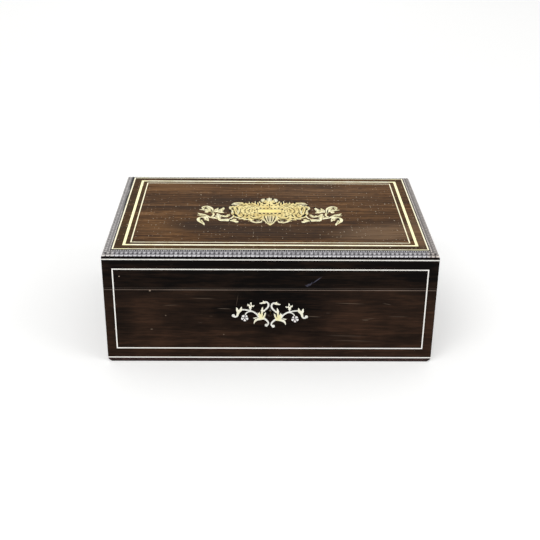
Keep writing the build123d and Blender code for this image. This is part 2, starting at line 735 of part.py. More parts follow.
# The keyhole runs from the outer face into the case
with BuildPart() as keyhole:
    with BuildSketch(front_plane):
        with Locations((0, keyhole_height)):
            Circle(keyhole_radius)
        with Locations((0, keyhole_height - keyhole_drop / 2)):
            Rectangle(keyhole_slot, keyhole_drop)
    extrude(amount=-(half_depth + case_inner_front))
keyhole_opening = keyhole.part

with BuildPart() as lock_plate:
    span_box(plate_sides, (plate_front, inner_front), (lock_plate_foot, seam_height))
    span_box(plate_sides, (selvedge_front, inner_front), (selvedge_foot, seam_height))
    for place in loop_places:
        slot_x = between(place, loop_thickness + 2 * loop_play)
        slot_y = between(lock_middle, loop_width + 2 * loop_play)
        span_box(slot_x, slot_y, (selvedge_foot, seam_height), Mode.SUBTRACT)
    for place in stud_places:
        with BuildSketch(Plane(origin=(place, plate_front, stud_level), z_dir=(0, -1, 0))) as stud:
            Circle(stud_radius)
        extrude(stud.sketch, amount=plate_front - case_inner_front)
    for place, way in lock_screw_places():
        cut_screw_seat(place, way)
lock_plate.part.label = "lock_plate"
export_step(lock_plate.part, "parts/lock_plate.step")

with BuildPart() as lock_case:
    span_box(case_sides, (case_front, plate_front), (lock_case_foot, selvedge_foot))
    hollow_y = (case_inner_front, plate_front)
    span_box(case_inside, hollow_y, (case_floor, selvedge_foot), Mode.SUBTRACT)
    add(keyhole_opening, mode=Mode.SUBTRACT)
lock_case.part.label = "lock_case"
export_step(lock_case.part, "parts/lock_case.step")

with BuildPart() as key_pin:
    with BuildSketch(Plane(origin=(0, plate_front, keyhole_height), z_dir=(0, -1, 0))):
        Circle(key_pin_radius)
    extrude(amount=plate_front - case_front)
key_pin.part.label = "key_pin"
export_step(key_pin.part, "parts/key_pin.step")

with BuildPart() as lock_bolt:
    bolt_depth = between(lock_middle, bolt_thickness)
    bar_top = bolt_foot + bolt_bar_height
    tips = [place - loop_thickness / 2 - finger_lead for place in loop_places]
    bar_left = tips[0] - finger_reach - hook_width
    span_box((bar_left, bolt_bar_right), bolt_depth, (bolt_foot, bar_top))
    for tip in tips:
        hook = tip - finger_reach - hook_width
        span_box((hook, hook + hook_width), bolt_depth, (bar_top, finger_top))
        span_box((hook, tip), bolt_depth, (finger_top - finger_height, finger_top))
    span_box(between(0, talon_width), bolt_depth, (bolt_foot, bolt_foot + talon_depth), Mode.SUBTRACT)
    play = stud_radius + running_gap
    for place in stud_places:
        slot_x = (place - bolt_travel - play, place + play)
        span_box(slot_x, bolt_depth, between(stud_level, 2 * play), Mode.SUBTRACT)
lock_bolt.part.label = "lock_bolt"
export_step(lock_bolt.part, "parts/lock_bolt.step")

with BuildPart() as lock_spring:
    spring_root = Vector(case_inside[1], case_floor + spring_rise)
    spring_tip = Vector(bolt_bar_right - spring_reach, bolt_foot - running_gap - spring_thickness)
    spring_belly = (spring_root + spring_tip) / 2 + Vector(spring_bow, spring_bow)
    with BuildSketch(Plane(origin=(0, lock_middle, 0), x_dir=(1, 0, 0), z_dir=(0, -1, 0))):
        with BuildLine():
            ThreePointArc(spring_root, spring_belly, spring_tip)
            offset(amount=spring_thickness, side=Side.LEFT)
        make_face()
    extrude(amount=bolt_thickness / 2, both=True)
lock_spring.part.label = "lock_spring"
export_step(lock_spring.part, "parts/lock_spring.step")

with BuildPart() as strike_plate:
    span_box(plate_sides, (selvedge_front, inner_front), (lid_foot, lid_foot + lock_plate_thickness))
    for place in loop_places:
        depth = between(lock_middle, loop_width)
        span_box(between(place, loop_thickness), depth, (loop_foot, lid_foot))
        eye = between(lock_middle, bolt_thickness + 2 * loop_play)
        span_box(between(place, loop_thickness), eye, (eye_foot, eye_top), Mode.SUBTRACT)
    for place, way in strike_screw_places():
        cut_screw_seat(place, way)
strike_plate.part.label = "strike_plate"
export_step(strike_plate.part, "parts/strike_plate.step")


# Screws

base_screw_places = [*lock_screw_places()]
lid_screw_places = [*strike_screw_places()]
for middle in hinge_places:
    base_screw_places += leaf_screw_places(middle, -1)
    lid_screw_places += leaf_screw_places(middle, 1)

with BuildPart() as base_screws:
    for place, way in base_screw_places:
        add_screw(place, way)
base_screws.part.label = "base_screws"
export_step(base_screws.part, "parts/base_screws.step")

with BuildPart() as lid_screws:
    for place, way in lid_screw_places:
        add_screw(place, way)
lid_screws.part.label = "lid_screws"
export_step(lid_screws.part, "parts/lid_screws.step")


# Base boards, with the recesses for the lock and the hinges

board_x = (-half_length + veneer, half_length - veneer)
front_y = (-half_depth + veneer, inner_front)
back_y = (-inner_front, half_depth - veneer)
right_x = (half_length - skin, half_length - veneer)
left_x = (-right_x[1], -right_x[0])
between_y = (inner_front, -inner_front)
wall_z = (plinth_height, seam_height)

with BuildPart() as base_front_board:
    span_box(board_x, front_y, wall_z)
    span_box(plate_sides, (plate_front, inner_front), (lock_plate_foot, seam_height), Mode.SUBTRACT)
    span_box(plate_sides, (selvedge_front, inner_front), (selvedge_foot, seam_height), Mode.SUBTRACT)
    span_box(case_sides, (case_front, inner_front), (lock_case_foot, seam_height), Mode.SUBTRACT)
    add(keyhole_opening, mode=Mode.SUBTRACT)
    for place, way in lock_screw_places():
        cut_screw_seat(place, way)
base_front_board.part.label = "base_front_board"
export_step(base_front_board.part, "parts/base_front_board.step")

with BuildPart() as base_back_board:
    span_box(board_x, back_y, wall_z)
    for middle in hinge_places:
        span_box(between(middle, leaf_width), leaf_y, base_leaf_z, Mode.SUBTRACT)
        for place, way in leaf_screw_places(middle, -1):
            cut_screw_seat(place, way)
base_back_board.part.label = "base_back_board"
export_step(base_back_board.part, "parts/base_back_board.step")

for name, x in (("base_left_board", left_x), ("base_right_board", right_x)):
    with BuildPart() as end_board:
        span_box(x, between_y, wall_z)
    end_board.part.label = name
    export_step(end_board.part, f"parts/{name}.step")

with BuildPart() as bottom_board:
    span_box((left_x[1], right_x[0]), between_y, (0, bottom_thickness))
bottom_board.part.label = "bottom_board"
export_step(bottom_board.part, "parts/bottom_board.step")

for side in SIDES:
    with BuildPart() as plinth_strip:
        with BuildSketch(section_plane(side, 0)) as section:
            Rectangle(skin, plinth_height, align=Align.MIN)
            fillet(section.vertices().sort_by(lambda corner: corner.X + corner.Y)[0], plinth_round)
        extrude(amount=SIDES[side][2], both=True)
        mitre_ends(side)
    plinth_strip.part.label = f"plinth_{side}"
    export_step(plinth_strip.part, f"parts/plinth_{side}.step")


# Veneers of the walls


def wall_veneer(side, z):
    """The sheet on one side between two heights, with the grooves of the bone lines."""
    end = half_length if side in ("front", "back") else half_depth - veneer
    with BuildPart() as sheet:
        with BuildSketch(face_plane(side)):
            with Locations((0, sum(z) / 2)):
                Rectangle(2 * end, z[1] - z[0])
        extrude(amount=-veneer)
        outward = Axis((0, 0, 0), face_plane(side).z_dir)
        outer_edges = sheet.edges().group_by(outward)[-1]
        seam_edge = outer_edges.sort_by(Axis.Z)[-1 if z[1] == seam_height else 0]
        chamfer(seam_edge, seam_bevel)
        if side in ("front", "back"):
            fillet(sheet.edges().filter_by(Axis.Z).group_by(outward)[-1], corner_round)
        add(wall_grooves, mode=Mode.SUBTRACT)
    return sheet.part


with BuildPart() as grooves:
    add(all_frames)
    add(edge_lines(plinth_height))
    add(edge_lines(lid_edge_line_foot))
wall_grooves = grooves.part

for side in SIDES:
    with BuildPart() as base_sheet:
        add(wall_veneer(side, (plinth_height, seam_height)))
        if side == "front":
            add(keyhole_opening, mode=Mode.SUBTRACT)
            for inlay in front_inlays.values():
                add(inlay, mode=Mode.SUBTRACT)
        if side == "back":
            for middle in hinge_places:
                span_box(between(middle, leaf_width), leaf_y, base_leaf_z, Mode.SUBTRACT)
                for place, way in leaf_screw_places(middle, -1):
                    cut_screw_seat(place, way)
    base_sheet.part.label = f"base_{side}_veneer"
    export_step(base_sheet.part, f"parts/base_{side}_veneer.step")

    with BuildPart() as lid_sheet:
        add(wall_veneer(side, (lid_foot, moulding_foot)))
        if side == "back":
            for middle in hinge_places:
                span_box(between(middle, leaf_width), leaf_y, lid_leaf_z, Mode.SUBTRACT)
                for place, way in leaf_screw_places(middle, 1):
                    cut_screw_seat(place, way)
    lid_sheet.part.label = f"lid_{side}_veneer"
    export_step(lid_sheet.part, f"parts/lid_{side}_veneer.step")


# Lid

rail_z = (lid_foot, lid_board_foot)
with BuildPart() as lid_front_rail:
    span_box(board_x, front_y, rail_z)
    strike_y = (selvedge_front, inner_front)
    span_box(plate_sides, strike_y, (lid_foot, lid_foot + lock_plate_thickness), Mode.SUBTRACT)
    for place, way in strike_screw_places():
        cut_screw_seat(place, way)
lid_front_rail.part.label = "lid_front_rail"
export_step(lid_front_rail.part, "parts/lid_front_rail.step")

with BuildPart() as lid_back_rail:
    span_box(board_x, back_y, rail_z)
    for middle in hinge_places:
        span_box(between(middle, leaf_width), leaf_y, lid_leaf_z, Mode.SUBTRACT)
        for place, way in leaf_screw_places(middle, 1):
            cut_screw_seat(place, way)
lid_back_rail.part.label = "lid_back_rail"
export_step(lid_back_rail.part, "parts/lid_back_rail.step")

for name, x in (("lid_left_rail", left_x), ("lid_right_rail", right_x)):
    with BuildPart() as end_rail:
        span_box(x, between_y, rail_z)
    end_rail.part.label = name
    export_step(end_rail.part, f"parts/{name}.step")

top_x = (-half_length + moulding_width, half_length - moulding_width)
top_y = (-half_depth + moulding_width, half_depth - moulding_width)
with BuildPart() as lid_board:
    span_box(board_x, (front_y[0], back_y[1]), (lid_board_foot, moulding_foot))
    span_box(top_x, top_y, (moulding_foot, top_foot))
lid_board.part.label = "lid_board"
export_step(lid_board.part, "parts/lid_board.step")

with BuildPart() as lid_top_veneer:
    span_box(top_x, top_y, (top_foot, box_height))
    for piece in [*top_lines.values(), *cartouche.values()]:
        add(piece, mode=Mode.SUBTRACT)
lid_top_veneer.part.label = "lid_top_veneer"
export_step(lid_top_veneer.part, "parts/lid_top_veneer.step")

slope_width = moulding_width - moulding_lip
slope_middle = (slope_width / 2, (moulding_edge + moulding_crest) / 2 + moulding_swell)
for side in SIDES:
    with BuildPart() as moulding:
        with BuildSketch(section_plane(side, moulding_foot)):
            with BuildLine():
                Polyline((0, 0), (0, moulding_edge))
                ThreePointArc((0, moulding_edge), slope_middle, (slope_width, moulding_crest))
                Polyline(
                    (slope_width, moulding_crest),
                    (slope_width, moulding_height),
                    (moulding_width, moulding_height),
                    (moulding_width, 0),
                    (0, 0),
                )
            make_face()
        extrude(amount=SIDES[side][2], both=True)
        mitre_ends(side)
    moulding.part.label = f"ripple_moulding_{side}"
    export_step(moulding.part, f"parts/ripple_moulding_{side}.step")


# Linings

lining_x = (left_x[1], right_x[0])
lining_z = (floor_top, seam_height - lining_drop)
lid_lining_z = (lid_foot + lid_lining_rise, lid_board_foot - lining)


def wall_linings(z):
    """Four cloth-covered cards against the inner walls between two heights."""
    with BuildPart() as cards:
        for y in ((between_y[0], between_y[0] + lining), (between_y[1] - lining, between_y[1])):
            span_box(lining_x, y, z)
        for end in (-1, 1):
            x = sorted((end * lining_x[1], end * (lining_x[1] - lining)))
            span_box(x, (between_y[0] + lining + lining_joint, between_y[1] - lining - lining_joint), z)
    return cards.part


with BuildPart() as floor_lining:
    span_box(lining_x, between_y, (floor_top - lining, floor_top))
floor_lining.part.label = "floor_lining"
export_step(floor_lining.part, "parts/floor_lining.step")

with BuildPart() as base_wall_linings:
    add(wall_linings(lining_z))
    notch_x = (plate_sides[0] - notch_play, plate_sides[1] + notch_play)
    notch_y = (between_y[0], between_y[0] + lining)
    span_box(notch_x, notch_y, (lock_plate_foot - notch_play, seam_height), Mode.SUBTRACT)
base_wall_linings.part.label = "base_wall_linings"
export_step(base_wall_linings.part, "parts/base_wall_linings.step")

with BuildPart() as lid_top_lining:
    span_box(lining_x, between_y, (lid_board_foot - lining, lid_board_foot))
lid_top_lining.part.label = "lid_top_lining"
export_step(lid_top_lining.part, "parts/lid_top_lining.step")

with BuildPart() as lid_wall_linings:
    add(wall_linings(lid_lining_z))
lid_wall_linings.part.label = "lid_wall_linings"
export_step(lid_wall_linings.part, "parts/lid_wall_linings.step")
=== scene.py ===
import bmesh
import bpy
import math
from mathutils import Matrix, Vector


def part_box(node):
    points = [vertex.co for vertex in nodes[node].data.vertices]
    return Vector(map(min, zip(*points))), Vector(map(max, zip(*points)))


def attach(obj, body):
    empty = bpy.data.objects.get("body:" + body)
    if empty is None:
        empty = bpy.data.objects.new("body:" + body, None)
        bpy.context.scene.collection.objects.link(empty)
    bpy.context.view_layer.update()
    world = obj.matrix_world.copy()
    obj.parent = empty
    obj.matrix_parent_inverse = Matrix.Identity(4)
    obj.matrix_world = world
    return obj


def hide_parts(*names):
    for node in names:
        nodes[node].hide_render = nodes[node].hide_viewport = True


# A dark document box: rosewood and ebonised veneers inlaid with bone, brass and mother of
# pearl, with a ripple moulding round the lid and velvet inside. Lengths are in metres
# unless a name says otherwise.

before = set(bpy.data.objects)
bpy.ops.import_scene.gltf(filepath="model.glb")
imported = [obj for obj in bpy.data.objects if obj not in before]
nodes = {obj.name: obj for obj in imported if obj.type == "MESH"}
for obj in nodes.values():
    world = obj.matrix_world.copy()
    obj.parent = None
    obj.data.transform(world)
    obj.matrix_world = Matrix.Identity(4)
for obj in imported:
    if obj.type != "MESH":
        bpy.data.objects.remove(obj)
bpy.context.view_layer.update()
print("frame loaded:", len(nodes), "nodes")

bpy.context.scene.view_settings.view_transform = "Standard"

wallLow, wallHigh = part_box("base_front_veneer")
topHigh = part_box("lid_top_veneer")[1]
halfLength = wallHigh.x
halfDepth = -wallLow.y
seam = wallHigh.z
boxTop = topHigh.z


# Camera, from the vanishing lines of the photograph
cameraValues = {
    "place": (-0.0158, -1.0439, 0.5608),
    "pitchDegrees": 25.823,
    "yawDegrees": 0.93,
    "rollDegrees": 0.619,
    "focalPixels": 962.9,
    "imagePixels": 540,
    "sensorMillimetres": 36.0,
    "nearestMetres": 0.01,
}


def makeCamera():
    values = cameraValues
    pitch = math.radians(values["pitchDegrees"])
    yaw = math.radians(values["yawDegrees"])
    roll = math.radians(values["rollDegrees"])
    level = math.cos(pitch)
    forward = Vector((math.sin(yaw) * level, math.cos(yaw) * level, -math.sin(pitch)))
    right = Vector((math.cos(yaw), -math.sin(yaw), 0))
    up = right.cross(forward)
    tiltedRight = right * math.cos(roll) + up * math.sin(roll)
    tiltedUp = up * math.cos(roll) - right * math.sin(roll)
    data = bpy.data.cameras.new("camera")
    data.sensor_width = values["sensorMillimetres"]
    data.lens = values["focalPixels"] / values["imagePixels"] * values["sensorMillimetres"]
    data.clip_start = values["nearestMetres"]
    camera = bpy.data.objects.new("camera", data)
    bpy.context.scene.collection.objects.link(camera)
    turn = Matrix((tiltedRight, tiltedUp, -forward)).transposed().to_4x4()
    camera.matrix_world = Matrix.Translation(values["place"]) @ turn
    bpy.context.scene.camera = camera


makeCamera()
print("camera placed")


# Colours and nodes
def linear(code):
    channels = []
    for start in (0, 2, 4):
        value = int(code[start:start + 2], 16) / 255
        channels.append(value / 12.92 if value <= 0.04045 else ((value + 0.055) / 1.055) ** 2.4)
    return (*channels, 1.0)


def addNode(tree, kind, inputs=None, stops=None, **settings):
    # Inputs are named or numbered, and hold a value or another node's socket. Stops are a ramp's
    # positions and its colours.
    node = tree.nodes.new("ShaderNode" + kind)
    for key, value in settings.items():
        setattr(node, key, value)
    for key, value in (inputs or {}).items():
        if isinstance(value, bpy.types.NodeSocket):
            tree.links.new(value, node.inputs[key])
        else:
            node.inputs[key].default_value = value
    if stops:
        points = node.color_ramp.elements
        while len(points) < len(stops[0]):
            points.new(0.5)
        for point, position, code in zip(points, *stops):
            point.position = position
            point.color = linear(code)
    return node


def newMaterial(name, inputs):
    # A principled material with the values that are the same all over, and its tree.
    material = bpy.data.materials.new(name)
    material.use_nodes = True
    tree = material.node_tree
    shader = tree.nodes["Principled BSDF"]
    for key, value in inputs.items():
        shader.inputs[key].default_value = value
    return material, tree, shader


def connect(tree, shader, colour, roughness=None, normal=None):
    for key, socket in (("Base Color", colour), ("Roughness", roughness), ("Normal", normal)):
        if socket is not None:
            tree.links.new(socket, shader.inputs[key])


def layColours(tree, colour, coats, blend="MIX"):
    # Lays colours over the first one, each where its own factor shows it.
    for factor, code in coats:
        colour = addNode(tree, "Mix", {0: factor, 6: colour, 7: linear(code)}, data_type="RGBA",
                         blend_type=blend).outputs[2]
    return colour


def figureScale(grain, length, width):
    # One unit of a texture is that long and wide in millimetres, with its length along the grain.
    sizes = {"X": (length, width, width), "Y": (width, length, width)}[grain]
    return tuple(1000 / size for size in sizes)


# Polished veneers. Sizes of figure are in millimetres: length along the grain, width across.
# A patch is its middle and half sizes on the two axes of the face, its strength and its turn
# in degrees.
topVeneerValues = {
    "name": "french_polished_rosewood",
    "colours": ("3A2717", "573B22", "7C5A3A"),
    "stops": (0.22, 0.50, 0.78),
    "poreColour": "23160D",
    "pores": (9, 2.6),       # real pores are an eighth of this and would not show
    "streaks": (210, 4.8),
    "fibres": (38, 2.3),     # real fibres are a third of this and would not show
    "clouds": (75, 45),
    "figure": (1.3, 1.2, 0.7, -1.11),    # weights of streaks, fibres and clouds, and a level
    "specular": 0.010,
    "roughness": (0.28, 0.44),
    "warmColour": "86603A",
    "warm": [(-122, -50, 38, 20, 0.35, 0), (-105, 76, 50, 13, 0.45, 0), (120, 20, 45, 45, 0.12, 0)],
    "heartColour": "30241C",
    "heart": [(-79, -43, 46, 24, 0.8, 0), (-48, 27, 38, 20, 0.75, 10), (15, -58, 110, 18, 0.75, 0),
              (-5, -5, 100, 45, 0.45, 0), (0, 104, 600, 9, 0.4, 0)],
    "edgeColour": "3A2C16",
    "edge": [(0, -103.5, 600, 10, 0.65, 0), (-164, 0, 8, 400, 0.6, 0), (164, 90, 8, 70, 0.35, 0),
             (-154.4, 0, 3.2, 400, 0.45, 0), (154.4, 50, 3.2, 70, 0.4, 0)],
    "hazeColour": "7A634D",
    "haze": [(125, -62, 60, 26, 0.6, 12), (60, 60, 70, 22, 0.15, 0), (164, -60, 6, 70, 0.45, 0)],
    "dustColour": "D8C8AE",
    "dustSpacing": 4.6,
    "dustShare": 0.32,       # of the places at that spacing
    "dustSize": 0.62,        # real specks are half of this and would not show
}
wallVeneerValues = {
    "name": "ebonised_rosewood",
    "colours": ("090605", "261A13", "4C3426"),
    "stops": (0.22, 0.50, 0.92),
    "streaks": (110, 6.0),
    "fibres": (20, 1.6),
    "clouds": (62, 27),
    "figure": (0.5, 0.5, 0.6, -0.29),
    "specular": 0.035,
    "roughness": (0.14, 0.30),
    # Pale lines along the seam: worn rims with a painted highlight on their edges
    "wornAndLitColour": "84756A",
    "wornAndLitLines": [(-0.5, 0.5, 0.75), (1.7, 0.4, 0.2)],    # height over the seam, half width, strength
    # Pale grey marks just above and below the keyhole
    "keyholeMarkColour": "4E4743",
    "keyholeMarks": [(-0.6, 58.0, 2.4, 1.4, 0.7, 0), (0.4, 66.6, 1.5, 1.5, 0.5, 0)],
    "scuffColour": "565666",
    "scuffs": [(49.8, 101.1, 6.6, 0.6, 0.7, 39), (41.0, 95.5, 3.0, 1.3, 0.5, 20),
               (43.5, 96.6, 3.0, 0.6, 0.6, 60), (39.0, 94.2, 2.2, 0.7, 0.5, -30)],
    "nicks": [(87, 73.0, 16, 0.4, 0.22, -2), (127, 72.5, 5, 0.4, 0.18, -12),
              (47.5, 56.7, 8, 0.4, 0.25, -3), (107, 53.8, 8.5, 0.4, 0.18, 7),
              (140, 57.0, 12, 0.35, 0.15, 0), (83.5, 32.7, 22, 1.0, 0.07, -1.5),
              (92, 26.4, 25, 1.0, 0.07, -1.5), (-72.4, 78.6, 13, 0.4, 0.18, -2),
              (-50, 66.2, 8, 0.4, 0.28, -2), (-108, 70.3, 9, 0.4, 0.14, 3),
              (-36, 76.5, 8, 0.3, 0.15, 81), (-162, 105.0, 0.8, 0.7, 1.0, 0),
              (-130, 88.0, 1.1, 1.0, 1.0, 0), (-170, 40.6, 0.9, 0.7, 0.8, 0),
              (-130, 40.5, 1.4, 0.6, 0.5, 0), (-114, 57.6, 0.8, 0.7, 0.5, 0),
              (-51, 34.0, 0.9, 0.7, 0.4, 0)],
    "shades": [(0, 66.0, 70, 34, 1.0, 0), (-160, 50.0, 14, 34, 0.5, 0), (-90, 55.0, 30, 20, 0.4, 0)],
    "browns": [(-137, 62.0, 26, 40, 0.7, 0), (112, 58.0, 64, 44, 1.0, 0), (0, 12.0, 400, 24, 0.7, 0),
               (-177, 60.0, 9, 90, 0.7, 0), (177, 60.0, 9, 90, 0.7, 0)],
    "shade": 0.14,           # how much the shades darken and the browns lighten the figure
    "lidShade": 0.14,
    "shadePerMetre": 1.2,    # darker upwards
    "scratches": (14, 0.7),  # twice the width of real ones, to show
    "scratchColour": "A08E7C",
}


patchFade = (1.25, 0.35)     # where a patch starts and is full, in its half sizes


def addPatches(tree, place, patches, axes):
    # The strongest of several soft-edged ovals, as a factor from 0 to 1.
    total = None
    for first, second, reachFirst, reachSecond, strength, turn in patches:
        centre, reach, turned = [0, 0, 0], [1000, 1000, 1000], [0, 0, 0]
        centre[axes[0]], centre[axes[1]] = first / 1000, second / 1000
        reach[axes[0]], reach[axes[1]] = reachFirst / 1000, reachSecond / 1000
        turned[3 - axes[0] - axes[1]] = math.radians(turn if axes[1] == 1 else -turn)
        spot = addNode(tree, "Mapping", {"Vector": place, "Location": centre, "Rotation": turned,
                                         "Scale": reach}, vector_type="TEXTURE")
        away = addNode(tree, "VectorMath", {0: spot.outputs[0]}, operation="LENGTH").outputs["Value"]
        mask = addNode(tree, "MapRange", {"Value": away, "From Min": patchFade[0], "From Max": patchFade[1],
                                          "To Min": 0.0, "To Max": strength},
                       interpolation_type="SMOOTHSTEP").outputs[0]
        if total is not None:
            mask = addNode(tree, "Math", {0: total, 1: mask}, operation="MAXIMUM").outputs[0]
        total = mask
    return total


def addLayers(tree, values, grain, place):
    layers = {}
    for layer, detail in (("streaks", 5), ("fibres", 4), ("clouds", 3)):
        spot = addNode(tree, "Mapping", {"Vector": place, "Scale": figureScale(grain, *values[layer])})
        layers[layer] = addNode(tree, "TexNoise", {"Vector": spot.outputs[0], "Scale": 1.0, "Detail": detail,
                                                   "Roughness": 0.6, "Distortion": 0.12}).outputs["Fac"]
    return layers


def addSum(tree, *terms):
    # Adds up sockets, each times its own weight, and a last plain number.
    total = terms[-1]
    for socket, weight in terms[:-1]:
        total = addNode(tree, "Math", {0: socket, 1: weight, 2: total}, operation="MULTIPLY_ADD").outputs[0]
    return total


def addFigure(tree, values, layers, *terms):
    # The veneer's figure from its layers and further terms, as a ramp from dark to light.
    weights = values["figure"]
    figure = addSum(tree, (layers["streaks"], weights[0]), (layers["fibres"], weights[1]),
                    (layers["clouds"], weights[2]), *terms, weights[3])
    return addNode(tree, "ValToRGB", {"Fac": figure}, (values["stops"], values["colours"])).outputs["Color"]


def finishVeneer(tree, shader, values, layers, colour):
    rough = addNode(tree, "MapRange", {"Value": layers["clouds"], "From Min": 0.3, "From Max": 0.7,
                                       "To Min": values["roughness"][0], "To Max": values["roughness"][1]})
    bump = addNode(tree, "Bump", {"Height": layers["fibres"], "Strength": 0.10, "Distance": 0.0002})
    connect(tree, shader, colour, rough.outputs[0], bump.outputs[0])


def makeTopVeneer():
    # Rosewood under an old french polish: brown streaks, a darker heart and settled dust.
    values = topVeneerValues
    material, tree, shader = newMaterial(values["name"], {
        "IOR": 1.5, "Specular IOR Level": values["specular"]})
    place = addNode(tree, "TexCoord").outputs["Object"]
    layers = addLayers(tree, values, "X", place)
    patches = {}
    for name in ("warm", "heart", "edge", "haze"):
        patches[name] = addPatches(tree, place, values[name], (0, 1))
    spot = addNode(tree, "Mapping", {"Vector": place, "Scale": figureScale("X", *values["pores"])})
    pores = addNode(tree, "TexNoise", {"Vector": spot.outputs[0], "Scale": 1.0, "Detail": 2}).outputs["Fac"]
    pores = addNode(tree, "MapRange", {"Value": pores, "From Min": 0.5, "From Max": 0.68,
                                       "To Min": 0.0, "To Max": 0.5}).outputs[0]
    # The heart follows the figure, and the haze breaks up along the fibres.
    heart = addSum(tree, (patches["heart"], 1.0), (layers["clouds"], -0.4), (layers["streaks"], -0.5), 0.42)
    heart = addNode(tree, "Math", {0: heart, 1: 0.0}, operation="MAXIMUM", use_clamp=True).outputs[0]
    broken = addNode(tree, "MapRange", {"Value": layers["fibres"], "From Min": 0.3, "From Max": 0.7,
                                        "To Min": 0.45, "To Max": 1.4}).outputs[0]
    haze = addNode(tree, "Math", {0: patches["haze"], 1: broken}, operation="MULTIPLY").outputs[0]
    # A speck of dust in some cells of a pattern, each with its own size and strength
    specks = addNode(tree, "TexVoronoi", {"Vector": place, "Scale": 1000 / values["dustSpacing"]},
                     voronoi_dimensions="2D")
    chosen = addNode(tree, "SeparateColor", {0: specks.outputs["Color"]}).outputs
    size = addNode(tree, "MapRange", {"Value": chosen[0], "From Min": 1 - values["dustShare"], "To Min": 0.0,
                                      "To Max": values["dustSize"] / values["dustSpacing"]}).outputs[0]
    dust = addNode(tree, "Math", {0: specks.outputs["Distance"], 1: size}, operation="LESS_THAN").outputs[0]
    faint = addNode(tree, "MapRange", {"Value": chosen[1], "To Min": 0.2, "To Max": 1.0}).outputs[0]
    dust = addNode(tree, "Math", {0: dust, 1: faint}, operation="MULTIPLY").outputs[0]
    colour = layColours(tree, addFigure(tree, values, layers), [
        (pores, values["poreColour"]), (patches["warm"], values["warmColour"]),
        (heart, values["heartColour"]), (patches["edge"], values["edgeColour"]),
        (haze, values["hazeColour"]), (dust, values["dustColour"])])
    finishVeneer(tree, shader, values, layers, colour)
    return material


def makeWallVeneer(grain):
    # Rosewood stained nearly black and polished: brown shows in patches, mostly low and to
    # the right, and the rims beside the seam are worn pale and carry a painted highlight.
    values = wallVeneerValues
    material, tree, shader = newMaterial(values["name"] + "_along_" + grain.lower(), {
        "IOR": 1.5, "Specular IOR Level": values["specular"]})
    place = addNode(tree, "TexCoord").outputs["Object"]
    axes = addNode(tree, "SeparateXYZ", {0: place}).outputs
    layers = addLayers(tree, values, grain, place)
    onLid = addNode(tree, "Math", {0: axes[2], 1: seam}, operation="GREATER_THAN").outputs[0]
    shades = addPatches(tree, place, values["shades"], (0, 2))
    browns = addPatches(tree, place, values["browns"], (0, 2))
    colour = addFigure(tree, values, layers, (axes[2], -values["shadePerMetre"]),
                       (onLid, -values["lidShade"]), (shades, -values["shade"]), (browns, values["shade"]))
    spot = addNode(tree, "Mapping", {"Vector": place, "Scale": figureScale(grain, *values["scratches"])})
    scratches = addNode(tree, "TexNoise", {"Vector": spot.outputs[0], "Scale": 1.0, "Detail": 0})
    scratches = addNode(tree, "MapRange", {"Value": scratches.outputs["Fac"], "From Min": 0.84,
                                           "From Max": 0.9, "To Min": 0.0, "To Max": 0.4}).outputs[0]
    coats = [(scratches, values["scratchColour"])]
    if grain == "X":
        onFront = addNode(tree, "Math", {0: axes[1], 1: 0.0}, operation="LESS_THAN").outputs[0]
        for marks, code in (("keyholeMarks", "keyholeMarkColour"), ("nicks", "scratchColour"),
                            ("scuffs", "scuffColour")):
            mark = addPatches(tree, place, values[marks], (0, 2))
            mark = addNode(tree, "Math", {0: mark, 1: onFront}, operation="MULTIPLY").outputs[0]
            coats.append((mark, values[code]))
    rubbedAndLit = addNode(tree, "MapRange", {"Value": layers["clouds"], "From Min": 0.3, "From Max": 0.6,
                                        "To Min": 0.45, "To Max": 1.0}).outputs[0]
    # Pale lines at the seam, partly wear and partly a painted highlight on the rims
    for height, halfWidth, strength in values["wornAndLitLines"]:
        beside = addNode(tree, "Math", {0: axes[2], 1: seam + height / 1000}, operation="SUBTRACT")
        beside = addNode(tree, "Math", {0: beside.outputs[0]}, operation="ABSOLUTE").outputs[0]
        wornAndLit = addNode(tree, "MapRange", {"Value": beside, "From Min": halfWidth / 1000,
                                          "From Max": halfWidth / 2000, "To Min": 0.0,
                                          "To Max": strength}).outputs[0]
        wornAndLit = addNode(tree, "Math", {0: wornAndLit, 1: rubbedAndLit}, operation="MULTIPLY").outputs[0]
        coats.append((wornAndLit, values["wornAndLitColour"]))
    finishVeneer(tree, shader, values, layers, layColours(tree, colour, coats))
    return material


mouldingWoodValues = {
    # Painted shade in the hollows, mid grey on the slopes and painted highlights on the crests
    "colours": ("050404", "7A787C", "FBF9FC"),    # of hollows, slopes and crests
    "grimeAndShading": 3.5,            # millimetres
    # Patches on the left and the right side and what they tint the wood with: dust, painted shade
    # in two hollows, and painted shade with old glue in an open joint at the back of the left side.
    "tints": [([(-175, 0, 9, 1000, 1.0, 0)], "FFFBF2"), ([(175, 0, 9, 1000, 1.0, 0)], "FFF6EA"),
              ([(174.6, 0, 1.6, 1000, 1.0, 0), (170.3, 0, 0.9, 1000, 1.0, 0)], "D8D6D4"),
              ([(-171.5, 100, 1.9, 45, 1.0, 0), (-171.3, 34, 1.5, 42, 0.9, 0)], "1A1716")],
}


